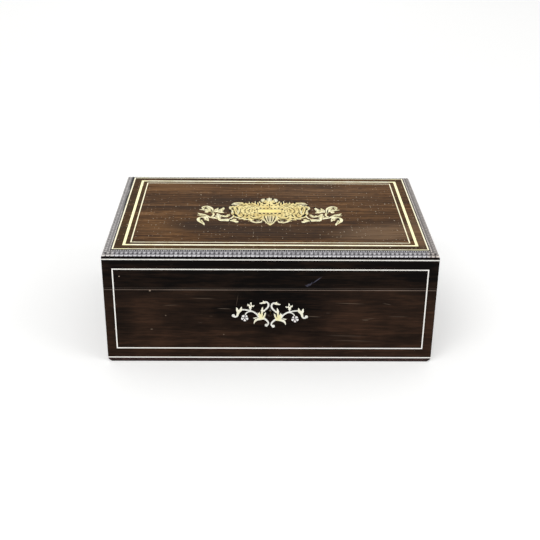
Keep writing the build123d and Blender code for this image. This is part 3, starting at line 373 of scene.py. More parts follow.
def makeMouldingWood():
    # Ebonised pearwood cut in ripples and polished black: painted highlights and some wax and dust grey its
    # crests, and painted shade blackens its hollows.
    values = mouldingWoodValues
    material, tree, shader = newMaterial("ebonised_pearwood_ripples", {
        "IOR": 1.5, "Specular IOR Level": 0.25})
    place = addNode(tree, "TexCoord").outputs["Object"]
    # Each point carries a painted grey: highlight on the crests and shade in the pits, with some dust; noise
    # varies it from bead to bead.
    crest = addNode(tree, "Attribute", attribute_name="rubbedAndLit").outputs["Fac"]
    grimeAndShading = addNode(tree, "TexNoise", {"Vector": place, "Scale": 1000 / values["grimeAndShading"], "Detail": 2})
    grimeAndShading = addNode(tree, "MapRange", {"Value": grimeAndShading.outputs["Fac"], "From Min": 0.3, "From Max": 0.7,
                                       "To Min": 0.86, "To Max": 1.09})
    crest = addNode(tree, "Math", {0: crest, 1: grimeAndShading.outputs[0]}, operation="MULTIPLY").outputs[0]
    colour = addNode(tree, "ValToRGB", {"Fac": crest}, ((0.0, 0.5, 1.0), values["colours"])).outputs["Color"]
    tints = [(addPatches(tree, place, spots, (0, 1)), code) for spots, code in values["tints"]]
    rough = addNode(tree, "MapRange", {"Value": crest, "To Min": 0.25, "To Max": 0.40}).outputs[0]
    connect(tree, shader, layColours(tree, colour, tints, "MULTIPLY"), rough)
    return material


# The plainer finishes, with the sizes of their figure in millimetres
plainValues = {
    "blackWood": {"colours": ("221815", "453230"), "grain": 3, "roughness": (0.22, 0.45)},
    "carcassWood": {"colours": ("3E2115", "6A3D26", "8C5A3A"), "grain": (40, 2.5), "roughness": 0.42,
                    # Painted shade inside the keyhole
                    "keyholeShadeColour": "0A0706", "grimeAndShading": [(0, 62.8, 8, 10, 1.0, 0)]},    # in the keyhole
    "metal": {"tarnish": 9},
    "bone": {"marks": 4, "roughness": 0.35, "paintedLightColour": "FFFDF8"},
    "pearl": {"colours": ("D2D8D5", "FAF9F6", "E9E1E0", "FFFFFC"), "glint": 3, "roughness": 0.18},
    "mastic": {"colours": ("0A0704", "221A0C"), "wear": 2, "roughness": 0.7},
    "velvet": {"colours": ("451019", "55141E", "661C29"), "sheenColour": "C8606A", "sheen": 0.6,
               "brushed": 28, "pile": 0.9, "roughness": 0.85},
}


def makeBlackWood():
    # Ebonised pearwood, planed: close black grain with a low polish.
    values = plainValues["blackWood"]
    material, tree, shader = newMaterial("ebonised_pearwood", {"IOR": 1.5, "Specular IOR Level": 0.1})
    place = addNode(tree, "TexCoord").outputs["Object"]
    grain = addNode(tree, "TexNoise", {"Vector": place, "Scale": 1000 / values["grain"], "Detail": 4})
    grain = grain.outputs["Fac"]
    colour = addNode(tree, "ValToRGB", {"Fac": grain}, ((0.3, 0.75), values["colours"]))
    rough = addNode(tree, "MapRange", {"Value": grain, "To Min": values["roughness"][0],
                                       "To Max": values["roughness"][1]})
    bump = addNode(tree, "Bump", {"Height": grain, "Strength": 0.15, "Distance": 0.0002})
    connect(tree, shader, colour.outputs["Color"], rough.outputs[0], bump.outputs[0])
    return material


def makeCarcassWood():
    # Mahogany boards, oiled: open pores and warm red-brown, and painted shade darkening the keyhole.
    values = plainValues["carcassWood"]
    material, tree, shader = newMaterial("oiled_mahogany", {
        "IOR": 1.5, "Specular IOR Level": 0.35, "Roughness": values["roughness"]})
    place = addNode(tree, "TexCoord").outputs["Object"]
    spot = addNode(tree, "Mapping", {"Vector": place, "Scale": figureScale("X", *values["grain"])})
    grain = addNode(tree, "TexNoise", {"Vector": spot.outputs[0], "Scale": 1.0, "Detail": 6,
                                       "Distortion": 0.5})
    colour = addNode(tree, "ValToRGB", {"Fac": grain.outputs["Fac"]}, ((0.3, 0.5, 0.75), values["colours"]))
    # Painted shade in the keyhole
    grimeAndShading = addPatches(tree, place, values["grimeAndShading"], (0, 2))
    bump = addNode(tree, "Bump", {"Height": grain.outputs["Fac"], "Strength": 0.2, "Distance": 0.0002})
    connect(tree, shader, layColours(tree, colour.outputs["Color"], [(grimeAndShading, values["keyholeShadeColour"])]),
            normal=bump.outputs[0])
    return material


def makeMetal(name, bright, dull, roughness, scratch, patches=(), axes=(0, 1)):
    # Brass or steel: tarnish in soft patches, and fine rubbing marks that lie all ways. Patches
    # are spots on the top or the front with a colour of their own, and on the line brass a painted
    # reflection; a scratch is in millimetres.
    material, tree, shader = newMaterial(name, {"Metallic": 1.0})
    place = addNode(tree, "TexCoord").outputs["Object"]
    tarnish = addNode(tree, "TexNoise", {"Vector": place, "Scale": 1000 / plainValues["metal"]["tarnish"],
                                         "Detail": 4, "Roughness": 0.6}).outputs["Fac"]
    colour = addNode(tree, "ValToRGB", {"Fac": tarnish}, ((0.32, 0.62), (dull, bright))).outputs["Color"]
    spots = [(addPatches(tree, place, shapes, axes), code) for shapes, code in patches]
    rough = addNode(tree, "MapRange", {"Value": tarnish, "From Min": 0.3, "From Max": 0.7,
                                       "To Min": roughness[1], "To Max": roughness[0]})
    rubbing = addNode(tree, "TexNoise", {"Vector": place, "Scale": 1000 / scratch, "Detail": 2})
    bump = addNode(tree, "Bump", {"Height": rubbing.outputs["Fac"], "Strength": 0.08, "Distance": 0.0001})
    connect(tree, shader, layColours(tree, colour, spots), rough.outputs[0], bump.outputs[0])
    return material


def makeBone(name, colours, paintedLight=()):
    # Sawn and polished bone: ivory white with faint brown growth marks, paler where painted light is laid on.
    values = plainValues["bone"]
    material, tree, shader = newMaterial(name, {"IOR": 1.54, "Roughness": values["roughness"]})
    place = addNode(tree, "TexCoord").outputs["Object"]
    marks = addNode(tree, "TexNoise", {"Vector": place, "Scale": 1000 / values["marks"], "Detail": 4})
    colour = addNode(tree, "ValToRGB", {"Fac": marks.outputs["Fac"]}, ((0.2, 0.5, 0.8), colours))
    spots = [(addPatches(tree, place, paintedLight, (0, 2)), values["paintedLightColour"])] if paintedLight else []
    connect(tree, shader, layColours(tree, colour.outputs["Color"], spots))
    return material


def makeMotherOfPearl():
    # Ground shell: white with pink and green glints in patches a few millimetres wide.
    values = plainValues["pearl"]
    material, tree, shader = newMaterial("mother_of_pearl", {"IOR": 1.6, "Roughness": values["roughness"]})
    place = addNode(tree, "TexCoord").outputs["Object"]
    glint = addNode(tree, "TexNoise", {"Vector": place, "Scale": 1000 / values["glint"], "Detail": 2,
                                       "Distortion": 1.0})
    colour = addNode(tree, "ValToRGB", {"Fac": glint.outputs["Fac"]},
                     ((0.3, 0.45, 0.6, 0.75), values["colours"]))
    connect(tree, shader, colour.outputs["Color"])
    return material


def makeMastic():
    # Black mastic rubbed into the engraving, matt beside the brass.
    values = plainValues["mastic"]
    material, tree, shader = newMaterial("black_mastic", {
        "IOR": 1.5, "Roughness": values["roughness"], "Specular IOR Level": 0.08})
    place = addNode(tree, "TexCoord").outputs["Object"]
    wear = addNode(tree, "TexNoise", {"Vector": place, "Scale": 1000 / values["wear"], "Detail": 2})
    colour = addNode(tree, "ValToRGB", {"Fac": wear.outputs["Fac"]}, ((0.35, 0.7), values["colours"]))
    connect(tree, shader, colour.outputs["Color"])
    return material


def makeVelvet():
    # Silk velvet glued on card: dark red pile that lightens where it is brushed.
    values = plainValues["velvet"]
    material, tree, shader = newMaterial("silk_velvet", {
        "IOR": 1.45, "Roughness": values["roughness"], "Specular IOR Level": 0.2, "Sheen Roughness": 0.35,
        "Sheen Weight": values["sheen"], "Sheen Tint": linear(values["sheenColour"])})
    place = addNode(tree, "TexCoord").outputs["Object"]
    brushed = addNode(tree, "TexNoise", {"Vector": place, "Scale": 1000 / values["brushed"], "Detail": 4,
                                         "Distortion": 0.6})
    pile = addNode(tree, "TexNoise", {"Vector": place, "Scale": 1000 / values["pile"], "Detail": 2})
    colour = addNode(tree, "ValToRGB", {"Fac": brushed.outputs["Fac"]}, ((0.3, 0.55, 0.8), values["colours"]))
    bump = addNode(tree, "Bump", {"Height": pile.outputs["Fac"], "Strength": 0.5, "Distance": 0.0005})
    connect(tree, shader, colour.outputs["Color"], normal=bump.outputs[0])
    return material


topVeneer = makeTopVeneer()
wallVeneers = {"X": makeWallVeneer("X"), "Y": makeWallVeneer("Y")}
mouldingWood = makeMouldingWood()
blackWood = makeBlackWood()
carcassWood = makeCarcassWood()
# The wide lines along the left and right of the top get a painted reflection, yellower than the rest
lineBrass = makeMetal("rolled_brass_line", "FBF6D8", "ECE3BC", (0.25, 0.38), 2.0, [
    ([(-158.3, 0, 7, 400, 1.0, 0), (158.3, 0, 7, 400, 1.0, 0)], "FFF9C2")])
cartoucheBrass = makeMetal("engraved_brass", "E4D48F", "CFB66C", (0.28, 0.45), 1.5, [
    ([(0, -0.6, 15.5, 5.5, 1.0, 0)], "F0DB86"),
    ([(0, -27, 7.5, 14, 0.8, 0), (0, 40, 12, 8, 0.8, 0)], "D0C6A2"),
    ([(-43, 21, 9, 7, 0.7, 0), (43, 21, 9, 7, 0.7, 0), (-15, -33, 10, 4, 0.8, 0),
      (15, -33, 10, 4, 0.8, 0)], "E4DCC0")])
sprayBrass = makeMetal("pale_engraved_brass", "EFE9C2", "D9CF98", (0.28, 0.45), 1.5)
leafBrass = makeMetal("cast_brass_leaves", "F6F4E4", "E8E4CC", (0.30, 0.50), 1.5, [
    ([(-9.5, 57.5, 4.0, 5.0, 0.7, 0), (8.4, 55.5, 4.0, 6.0, 0.9, 0)], "F0E8AE")], (0, 2))
hingeBrass = makeMetal("cast_hinge_brass", "D8B566", "8E6E34", (0.30, 0.55), 1.5)
screwBrass = makeMetal("turned_screw_brass", "C9A55A", "7C6031", (0.28, 0.50), 0.8)
lockSteel = makeMetal("oiled_lock_steel", "8F9092", "4D4A47", (0.30, 0.55), 1.2)
# Painted light on the front's low lines and on its upright lines at both ends
bone = makeBone("polished_bone", ("D8D2C6", "EBE8E0", "F6F4EE"), [
    (0, 8, 1000, 34, 0.9, 0), (-168.4, 50, 8, 120, 0.8, 0), (168.4, 50, 8, 120, 0.6, 0)])
stemBone = makeBone("engraved_bone_stems", ("D7D6CC", "EAE9E0", "F6F5ED"))
motherOfPearl = makeMotherOfPearl()
mastic = makeMastic()
velvet = makeVelvet()
print("materials made")


def finishNodes():
    slotMaterials = {
        "rosewood_veneer": topVeneer,
        "ebonised_moulding": blackWood,
        "carcass_wood": carcassWood,
        "brass": lineBrass,
        "hinge_brass": hingeBrass,
        "bone": bone,
        "mother_of_pearl": motherOfPearl,
        "mastic": mastic,
        "lock_steel": lockSteel,
        "screw_brass": screwBrass,
        "lining_velvet": velvet,
    }
    for name, node in nodes.items():
        slotName = node.material_slots[0].material.name if node.material_slots else None
        if name.endswith("_veneer") and name != "lid_top_veneer":
            material = wallVeneers["Y" if "left" in name or "right" in name else "X"]
        elif name.startswith("cartouche_centre"):
            material = cartoucheBrass
        elif name.startswith("cartouche"):
            material = sprayBrass
        elif name.endswith("_leaves"):
            material = leafBrass
        elif name.endswith("_stems"):
            material = stemBone
        else:
            material = slotMaterials[slotName]
        for materialSlot in node.material_slots:
            materialSlot.material = material


finishNodes()
print("nodes finished")


# Ripple moulding: a row of beads cut across a rounded bar, with a small pearl and a deep
# pit between each two. A section point is in from the outer edge and up from the foot, in
# millimetres, with how far it stands out at the pit, beside it, on a bead's shoulder and on
# its middle: 0 is the bottom of a hollow and 1 is a crest. The same numbers are painted on
# as grey: painted shade in the hollows and painted highlights on the crests.
rippleValues = {
    "pitchMillimetres": 4.8,
    "columns": 6,
    "reliefMillimetres": 0.75,
    "foot": (1.20, 0.00),
    "section": [
        (0.85, 0.65, (0.00, 0.10, 0.20, 0.30)),
        (0.75, 1.60, (0.20, 1.05, 1.28, 1.05)),
        (1.65, 2.75, (0.48, 0.58, 0.54, 0.46)),
        (2.95, 3.60, (0.00, 0.20, 0.62, 0.62)),
        (4.70, 4.10, (0.40, 0.60, 0.74, 0.72)),
        (6.60, 4.30, (0.26, 0.40, 0.38, 0.22)),
        (8.35, 4.30, (0.10, 1.50, 0.95, 0.30)),
    ],
    "inside": [(9.00, 4.00), (9.45, 5.10), (10.30, 5.20), (10.30, 0.00)],
    "insideGrey": 0.06,
    "clearMillimetres": 0.02,    # the crests stay that far inside the wall's plane
}


mergeMetres = 0.00001        # points this near each other become one


def startModelling():
    if bpy.context.object and bpy.context.object.mode != "OBJECT":
        bpy.ops.object.mode_set(mode="OBJECT")
    bpy.ops.object.select_all(action="DESELECT")


def setMaterial(piece, material):
    piece.data.materials.clear()
    piece.data.materials.append(material)


def pick(piece, test):
    # Selects in edit mode the vertices that pass the test.
    mesh = bmesh.from_edit_mesh(piece.data)
    for vertex in mesh.verts:
        vertex.select_set(test(vertex))
    mesh.select_flush_mode()
    bmesh.update_edit_mesh(piece.data)


def makeRipple(pitch):
    # One pitch of the chain, open at both ends: a grid of columns and rows moved into shape.
    values = rippleValues
    rows = [(*values["foot"], None)] + values["section"] + [(*point, None) for point in values["inside"]]
    last, columns = len(rows) - 1, values["columns"]
    startModelling()
    bpy.ops.mesh.primitive_grid_add(x_subdivisions=columns, y_subdivisions=last, size=1)
    unit = bpy.context.object
    unit.data.attributes.new("rubbedAndLit", "FLOAT", "POINT")
    rowOf, columnOf = {}, {}
    for vertex in unit.data.vertices:
        rowOf[vertex.index] = round((vertex.co.y + 0.5) * last)
        columnOf[vertex.index] = round((vertex.co.x + 0.5) * columns)
    bpy.ops.object.mode_set(mode="EDIT")
    bpy.ops.mesh.select_mode(type="VERT")
    bpy.ops.transform.resize(value=(pitch, 1, 1))
    greys = {}
    for row, (inset, height, figure) in enumerate(rows):
        for column in range(columns + 1):
            crest = figure[min(column, columns - column)] if figure else 0.5
            # The grey painted on a point follows its relief: painted shade low, painted highlight high; the
            # foot and the inside stay dark.
            greys[row, column] = min(crest, 1.0) if figure else (values["insideGrey"] if row else 0)
            # A crest stands out forwards low down and upwards at the back.
            lean = math.radians(90 * (1 - (row - 1) / (len(values["section"]) - 1)))
            relief = (crest - 0.5) * values["reliefMillimetres"]
            target = Vector((0, inset - relief * math.sin(lean), height + relief * math.cos(lean))) / 1000
            target.y = max(target.y, values["clearMillimetres"] / 1000) - (row / last - 0.5)
            pick(unit, lambda vertex: rowOf[vertex.index] == row and columnOf[vertex.index] == column)
            bpy.ops.transform.translate(value=target)
    pick(unit, lambda vertex: rowOf[vertex.index] in (0, last))
    bpy.ops.mesh.select_mode(type="EDGE")
    mesh = bmesh.from_edit_mesh(unit.data)
    for edge in mesh.edges:
        first, second = edge.verts
        edge.select_set(first.select and second.select and rowOf[first.index] == rowOf[second.index])
    bmesh.update_edit_mesh(unit.data)
    bpy.ops.mesh.bridge_edge_loops()
    bpy.ops.mesh.select_mode(type="VERT")
    bpy.ops.object.mode_set(mode="OBJECT")
    rubbedAndLit = unit.data.attributes["rubbedAndLit"]
    for vertex in unit.data.vertices:
        rubbedAndLit.data[vertex.index].value = greys[rowOf[vertex.index], columnOf[vertex.index]]
    return unit


def makeRippleMoulding(side, length, turn, place):
    count = round(length * 1000 / rippleValues["pitchMillimetres"])
    pitch = length / count
    piece = makeRipple(pitch)
    piece.name = "rippled_" + side
    bpy.ops.object.modifier_add(type="ARRAY")
    rowOfRipples = piece.modifiers[-1]
    rowOfRipples.count = count + 2
    rowOfRipples.use_relative_offset = False
    rowOfRipples.use_constant_offset = True
    rowOfRipples.constant_offset_displace = (pitch, 0, 0)
    rowOfRipples.use_merge_vertices = True
    rowOfRipples.merge_threshold = mergeMetres
    bpy.ops.object.modifier_apply(modifier=rowOfRipples.name)
    bpy.ops.object.mode_set(mode="EDIT")
    bpy.ops.mesh.select_all(action="SELECT")
    bpy.ops.transform.translate(value=(-length / 2 - pitch / 2, 0, 0))
    for end in (-1, 1):
        bpy.ops.mesh.select_all(action="SELECT")
        # The mitre at this end
        bpy.ops.mesh.bisect(plane_co=(end * length / 2, 0, 0), plane_no=(end, 1, 0), use_fill=True,
                            clear_outer=True)
    bpy.ops.mesh.select_all(action="SELECT")
    bpy.ops.mesh.dissolve_limited(angle_limit=math.radians(0.5))
    bpy.ops.mesh.normals_make_consistent(inside=False)
    bpy.ops.object.mode_set(mode="OBJECT")
    piece.rotation_euler = (0, 0, math.radians(turn))
    piece.location = place
    bpy.ops.object.transform_apply(location=True, rotation=True, scale=True)
    bpy.ops.object.shade_smooth_by_angle(angle=math.radians(50))
    setMaterial(piece, mouldingWood)
    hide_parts("ripple_moulding_" + side)
    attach(piece, "lid")
    return piece


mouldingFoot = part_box("ripple_moulding_front")[0].z
for side, length, turn, place in (
    ("front", 2 * halfLength, 0, (0, -halfDepth, mouldingFoot)),
    ("back", 2 * halfLength, 180, (0, halfDepth, mouldingFoot)),
    ("left", 2 * halfDepth, -90, (-halfLength, 0, mouldingFoot)),
    ("right", 2 * halfDepth, 90, (halfLength, 0, mouldingFoot)),
):
    made = makeRippleMoulding(side, length, turn, place)
    print("ripple moulding", side, len(made.data.polygons), "faces")


# Plinth: one low frame with eased lower edges and rubbed-off corners
plinthValues = {
    "cornerMillimetres": 4.1,
    "edgeMillimetres": 0.9,
    "edgeSegments": 3,
}


def makePlinth():
    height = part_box("plinth_front")[1].z
    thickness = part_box("plinth_front")[1].y + halfDepth
    startModelling()
    bpy.ops.mesh.primitive_cube_add(size=1, location=(0, 0, height / 2),
                                    scale=(2 * halfLength, 2 * halfDepth, height))
    piece = bpy.context.object
    piece.name = "plinth_frame"
    bpy.ops.object.transform_apply(location=True, rotation=True, scale=True)
    bpy.ops.object.mode_set(mode="EDIT")
    bpy.ops.mesh.select_mode(type="VERT")
    pick(piece, lambda vertex: vertex.co.z < height / 2)
    bpy.ops.mesh.bevel(offset=plinthValues["cornerMillimetres"] / 1000, affect="VERTICES")
    bpy.ops.mesh.select_mode(type="EDGE")
    mesh = bmesh.from_edit_mesh(piece.data)
    for edge in mesh.edges:
        lowest = min(end.co.z for end in edge.verts)
        edge.select_set(lowest < height * 0.9 and edge.calc_face_angle() > 0.3)    # all but the upper edges
    bmesh.update_edit_mesh(piece.data)
    bpy.ops.mesh.bevel(offset=plinthValues["edgeMillimetres"] / 1000, segments=plinthValues["edgeSegments"],
                       affect="EDGES", clamp_overlap=True)
    bpy.ops.mesh.select_mode(type="FACE")
    mesh = bmesh.from_edit_mesh(piece.data)
    for face in mesh.faces:
        face.select_set(abs(face.normal.z) > 0.99)    # top and bottom, which open into the frame
    bmesh.update_edit_mesh(piece.data)
    bpy.ops.mesh.inset(thickness=thickness - plinthValues["edgeMillimetres"] / 1000, use_individual=True)
    bpy.ops.mesh.delete(type="FACE")
    bpy.ops.mesh.select_mode(type="EDGE")
    bpy.ops.mesh.select_non_manifold()
    bpy.ops.mesh.bridge_edge_loops()
    bpy.ops.mesh.select_all(action="SELECT")
    bpy.ops.mesh.remove_doubles(threshold=mergeMetres)
    bpy.ops.mesh.dissolve_degenerate(threshold=mergeMetres)
    bpy.ops.mesh.normals_make_consistent(inside=False)
    bpy.ops.object.mode_set(mode="OBJECT")
    bpy.ops.object.shade_smooth_by_angle(angle=math.radians(40))
    setMaterial(piece, blackWood)
    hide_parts("plinth_front", "plinth_back", "plinth_left", "plinth_right")
    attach(piece, "base")


makePlinth()
print("plinth made")


# Engraving. Strokes lie on the inlay, at most 0.2 mm proud of it. They are drawn for the left
# half and mirrored: the points of a stroke in millimetres, and its width at each. A dot is its
# middle and its radius.
engravingValues = {
    "top": {
        "lineGain": 1.8,     # lines cut wider than drawn, to show at the photograph's distance
        "notches": [
            ([(-45.4, 26.8), (-38.6, 28.4), (-31.2, 27.8)], (1.8, 2.3, 1.8)),
            ([(-80.4, 13.8), (-76.0, 16.6), (-70.8, 14.8)], (0.6, 1.2, 0.6)),
            ([(-60.0, -8.0), (-53.6, -8.4)], (0.9, 1.3)),
            ([(-59.0, -31.6), (-51.6, -32.8), (-46.8, -32.8)], (1.0, 2.2, 1.4)),
            ([(-8.3, -36.5), (-8.0, -31.0), (-8.2, -27.0)], (1.6, 0.9, 0.3)),
            ([(-27.0, -30.8), (-22.6, -28.4)], (1.4, 0.5)),
        ],
        "dark": [
            # clefts between the leaves
            ([(-46.8, 16.6), (-42.0, 16.5), (-38.0, 15.8)], (1.9, 1.8, 0.5)),
            ([(-30.2, 28.5), (-30.0, 22.0)], (2.0, 0.7)),
            ([(-22.4, 29.0), (-22.2, 22.5)], (1.8, 0.7)),
            ([(-15.4, 31.0), (-15.2, 20.5)], (1.2, 0.8)),
            ([(-10.4, 30.0), (-9.4, 25.0)], (1.2, 0.6)),
            ([(-41.4, -9.5), (-39.4, -14.0), (-37.2, -18.0)], (1.5, 2.2, 1.4)),
            ([(-47.6, 1.6), (-46.2, -1.0), (-46.4, -6.0)], (1.3, 0.9, 0.5)),
            ([(-2.9, -35.6), (-2.2, -34.6)], (0.8, 0.5)),
            ([(-4.4, 40.5), (-4.4, 33.5)], (1.6, 0.6)),
            ([(-52.6, 12.6), (-53.2, 8.6)], (1.2, 0.4)),
            ([(-58.8, 8.4), (-58.4, 4.4)], (1.6, 0.4)),
            ([(-53.6, -10.6), (-53.4, -13.0)], (1.4, 0.5)),
            ([(-79.0, -21.0), (-78.6, -27.4)], (1.1, 1.0)),
            ([(-55.0, -20.6), (-50.4, -22.4)], (1.1, 1.4)),
            ([(-46.8, -33.6), (-46.0, -28.6), (-45.0, -24.4)], (0.6, 0.7, 1.0)),
            # scrolls round the plaque
            ([(-42.0, 2.0), (-41.4, -3.0), (-40.2, -8.5)], (0.3, 0.9, 0.4)),
            ([(-35.2, -3.6), (-34.6, -7.6), (-36.0, -11.5)], (0.3, 0.8, 0.3)),
            ([(-44.2, 11.8), (-43.2, 4.4), (-41.4, 1.4)], (0.4, 1.0, 0.4)),
            ([(-39.8, 12.2), (-37.4, 6.0), (-37.6, 1.2)], (0.4, 0.9, 0.4)),
            ([(-43.0, 20.0), (-38.6, 21.4), (-33.2, 20.2), (-31.6, 17.6)], (0.3, 0.8, 0.9, 0.4)),
            ([(-36.0, 17.4), (-31.0, 15.4), (-27.4, 19.0)], (0.4, 0.9, 0.4)),
            ([(-26.4, 23.4), (-23.0, 18.6), (-17.6, 17.2)], (0.3, 0.9, 0.4)),
            ([(-13.0, 26.6), (-11.6, 20.8), (-12.4, 15.6)], (0.3, 0.9, 0.5)),
            ([(-33.8, -20.6), (-30.2, -15.2), (-31.4, -10.6)], (0.4, 1.0, 0.4)),
            ([(-27.4, -17.8), (-26.0, -14.2), (-27.0, -11.2)], (0.8, 1.0, 0.3)),
            ([(-22.4, -18.4), (-20.0, -23.4), (-13.0, -23.6), (-9.4, -19.0)], (0.4, 0.9, 0.9, 0.4)),
            # shell at the front, leaf at the back
            ([(-6.4, -14.5), (-5.4, -24.0), (-3.4, -32.5)], (0.5, 0.9, 0.6)),
            ([(-2.3, -14.5), (-2.1, -23.0), (-1.4, -30.5)], (0.3, 0.6, 0.3)),
            ([(-6.0, -13.0), (0.0, -11.2)], (0.5, 0.7)),
            # veins of the spray
            ([(-78.2, 8.4), (-76.4, 11.2), (-73.6, 11.6)], (0.3, 0.8, 0.3)),
            ([(-77.0, 3.4), (-74.8, 6.0), (-72.4, 5.6)], (0.3, 0.8, 0.3)),
            ([(-68.4, 2.6), (-67.4, -3.0), (-67.6, -8.0)], (0.3, 0.6, 0.3)),
            ([(-80.0, -13.4), (-74.0, -16.4)], (0.3, 0.7)),
            ([(-75.6, -30.0), (-74.6, -33.0)], (0.3, 0.8)),
            ([(-71.0, -14.0), (-68.0, -18.6), (-64.0, -20.0)], (0.3, 0.5, 0.3)),
        ],
        "darkDots": [(-6.0, 23.0, 1.2), (-2.2, 7.4, 0.75), (-6.4, 7.4, 0.8), (-10.6, 7.4, 0.7),
                     (-14.8, 4.8, 0.75), (-2.2, -8.0, 0.85), (-6.6, -8.0, 0.95), (-11.4, -8.0, 1.0),
                     (-17.4, -5.6, 0.7), (-17.6, 1.0, 0.6), (-20.4, 3.6, 0.5), (-18.8, -17.0, 0.85),
                     (-26.2, -23.4, 0.9), (-14.0, -27.6, 1.3), (-2.6, 17.0, 0.6), (-7.6, 17.6, 0.7)],
        "middleDark": [
            ([(0.0, 21.8), (0.0, 16.4)], (1.0, 0.6)),
            ([(0.0, -33.6), (0.0, -36.2)], (0.5, 0.5)),
        ],
        "middleDots": [(0.0, 10.4, 0.6)],
        "pale": [
            ([(-45.0, 19.8), (-41.4, 23.2), (-35.6, 24.4), (-31.6, 24.0)], (1.0, 1.8, 1.5, 0.8)),
            ([(-46.2, 14.0), (-47.0, 9.0), (-44.6, 3.0), (-43.4, -4.0), (-44.2, -10.0)],
             (1.0, 1.6, 1.0, 2.2, 1.4)),
            ([(-38.4, 4.0), (-36.6, -3.0), (-37.6, -12.0)], (0.8, 2.0, 1.0)),
            ([(-39.4, -19.6), (-33.0, -23.2), (-27.0, -26.4), (-22.0, -27.0)], (2.6, 1.4, 1.6, 0.8)),
            ([(-21.6, -30.2), (-15.0, -34.2), (-9.4, -31.0), (-8.6, -26.0)], (1.0, 2.0, 1.4, 0.8)),
            ([(-7.6, -16.0), (-7.4, -25.0), (-4.4, -34.0), (-1.2, -39.0)], (0.8, 0.9, 1.0, 1.4)),
            ([(-7.6, 37.4), (-7.8, 32.6), (-8.2, 28.4)], (3.6, 5.2, 3.6)),
            ([(-24.4, -28.8), (-19.0, -30.8)], (1.8, 2.6)),
            ([(-24.0, 28.0), (-23.4, 24.4)], (1.0, 1.6)),
            ([(-17.0, 29.6), (-16.8, 24.6)], (0.8, 1.4)),
            ([(-12.4, 28.6), (-12.0, 24.0)], (1.2, 1.8)),
        ],
        "middlePale": [([(0.0, 39.6), (0.0, 30.0)], (6.0, 6.8))],
        "spray": [
            # leaves of the spray filled out
            ([(-55.2, 6.6), (-56.6, 1.6), (-56.0, -4.4)], (3.0, 5.0, 3.6)),
            ([(-61.4, 6.4), (-61.4, -1.0)], (2.0, 4.6)),
            ([(-65.0, -2.4), (-59.0, -2.6)], (3.0, 5.4)),
            ([(-60.0, -11.5), (-59.2, -19.0), (-58.0, -26.0)], (3.4, 6.0, 4.0)),
            ([(-62.0, -15.4), (-61.2, -19.0)], (2.4, 2.6)),
            ([(-56.0, -27.2), (-50.6, -26.6), (-47.4, -25.4)], (3.6, 4.4, 3.0)),
            ([(-47.6, -11.4), (-49.6, -17.0)], (2.6, 4.4)),
            ([(-52.4, -15.0), (-55.4, -16.0)], (3.0, 3.4)),
            ([(-43.6, -29.4), (-39.4, -32.0)], (4.4, 4.2)),
            ([(-75.0, -2.4), (-70.0, 0.0)], (4.0, 5.0)),
            ([(-75.6, -4.0), (-71.4, -5.0)], (2.6, 3.8)),
            ([(-73.4, 10.4), (-71.0, 5.0), (-70.0, -1.0)], (2.4, 4.6, 5.0)),
            ([(-78.4, 9.6), (-77.6, 4.0)], (2.2, 3.4)),
            ([(-74.4, -21.0), (-73.2, -28.0)], (4.6, 3.0)),
            ([(-79.6, -22.0), (-77.8, -31.0), (-75.6, -37.0)], (1.4, 2.2, 1.8)),
        ],
    },
    "front": {
        "lineGain": 1.6,
        "rightShift": (-0.7, -1.3),
        "notches": [
            ([(-14.4, 62.8), (-11.9, 64.4), (-10.6, 68.0)], (2.2, 1.9, 1.6)),
            ([(-3.6, 62.6), (-5.0, 63.2)], (1.4, 1.0)),
            ([(-6.9, 62.6), (-7.2, 59.6), (-7.8, 57.4)], (1.2, 0.8, 0.3)),
            ([(-11.0, 63.4), (-10.7, 61.4), (-10.1, 59.4)], (1.3, 0.8, 0.3)),
            ([(-19.6, 52.6), (-17.4, 52.8)], (1.0, 0.7)),
            ([(-22.9, 75.4), (-22.3, 72.4)], (2.2, 0.5)),
            ([(-18.7, 73.8), (-20.2, 71.2)], (2.4, 0.5)),
            ([(-24.9, 68.8), (-23.2, 67.9)], (1.8, 1.1)),
            ([(-18.3, 68.0), (-20.3, 67.7)], (1.6, 1.0)),
            ([(-34.1, 69.0), (-34.5, 64.8)], (2.6, 0.5)),
            ([(-30.4, 62.6), (-32.6, 59.6), (-34.0, 56.6)], (1.6, 1.9, 1.2)),
            ([(-38.6, 64.4), (-37.7, 60.4)], (1.4, 1.1)),
            ([(-6.2, 72.0), (-9.6, 71.2)], (0.9, 1.3)),
            ([(-10.6, 75.0), (-9.3, 74.9)], (1.0, 0.6)),
        ],
        "dark": [
            ([(-8.2, 61.0), (-7.7, 58.6), (-8.4, 56.0)], (0.2, 0.5, 0.2)),
            ([(-12.6, 55.4), (-16.6, 53.8)], (0.3, 0.4)),
            # petals
            ([(-27.9, 54.8), (-30.0, 51.6)], (0.3, 0.7)),
            ([(-27.9, 54.8), (-25.8, 51.7)], (0.3, 0.7)),
            ([(-27.9, 54.8), (-31.6, 56.0)], (0.3, 0.7)),
            ([(-27.9, 54.8), (-24.2, 56.0)], (0.3, 0.7)),
            ([(-27.9, 54.8), (-27.2, 58.4)], (0.5, 0.8)),
        ],
        "darkDots": [(-21.6, 70.9, 0.5)],
    },
}
# Rows of small scale cuts fill the field round the plaque, in millimetres
scaleValues = {
    "rows": [(20.5, 12.0), (24.8, 14.6), (29.2, 16.8), (33.6, 18.6)],    # half length, half width
    "middle": -0.6,          # of the rows, a little in front of the lid's middle
    "length": 2.3,
    "gap": 2.2,
    "width": 0.6,
    "tip": 0.3,
    "bulge": 1.03,           # a cut's middle stands that much further out than its ends
    "arcDegrees": (118, 242),
}
# How all strokes and dots are made. The curves are in millimetres until they are laid.
strokeValues = {
    "steps": 5,
    "dotSides": 8,
    "mergeMillimetres": 0.0005,
    "flatRise": 0.00001,     # metres in height for each millimetre of half width
    "cutRise": 0.00006,
}


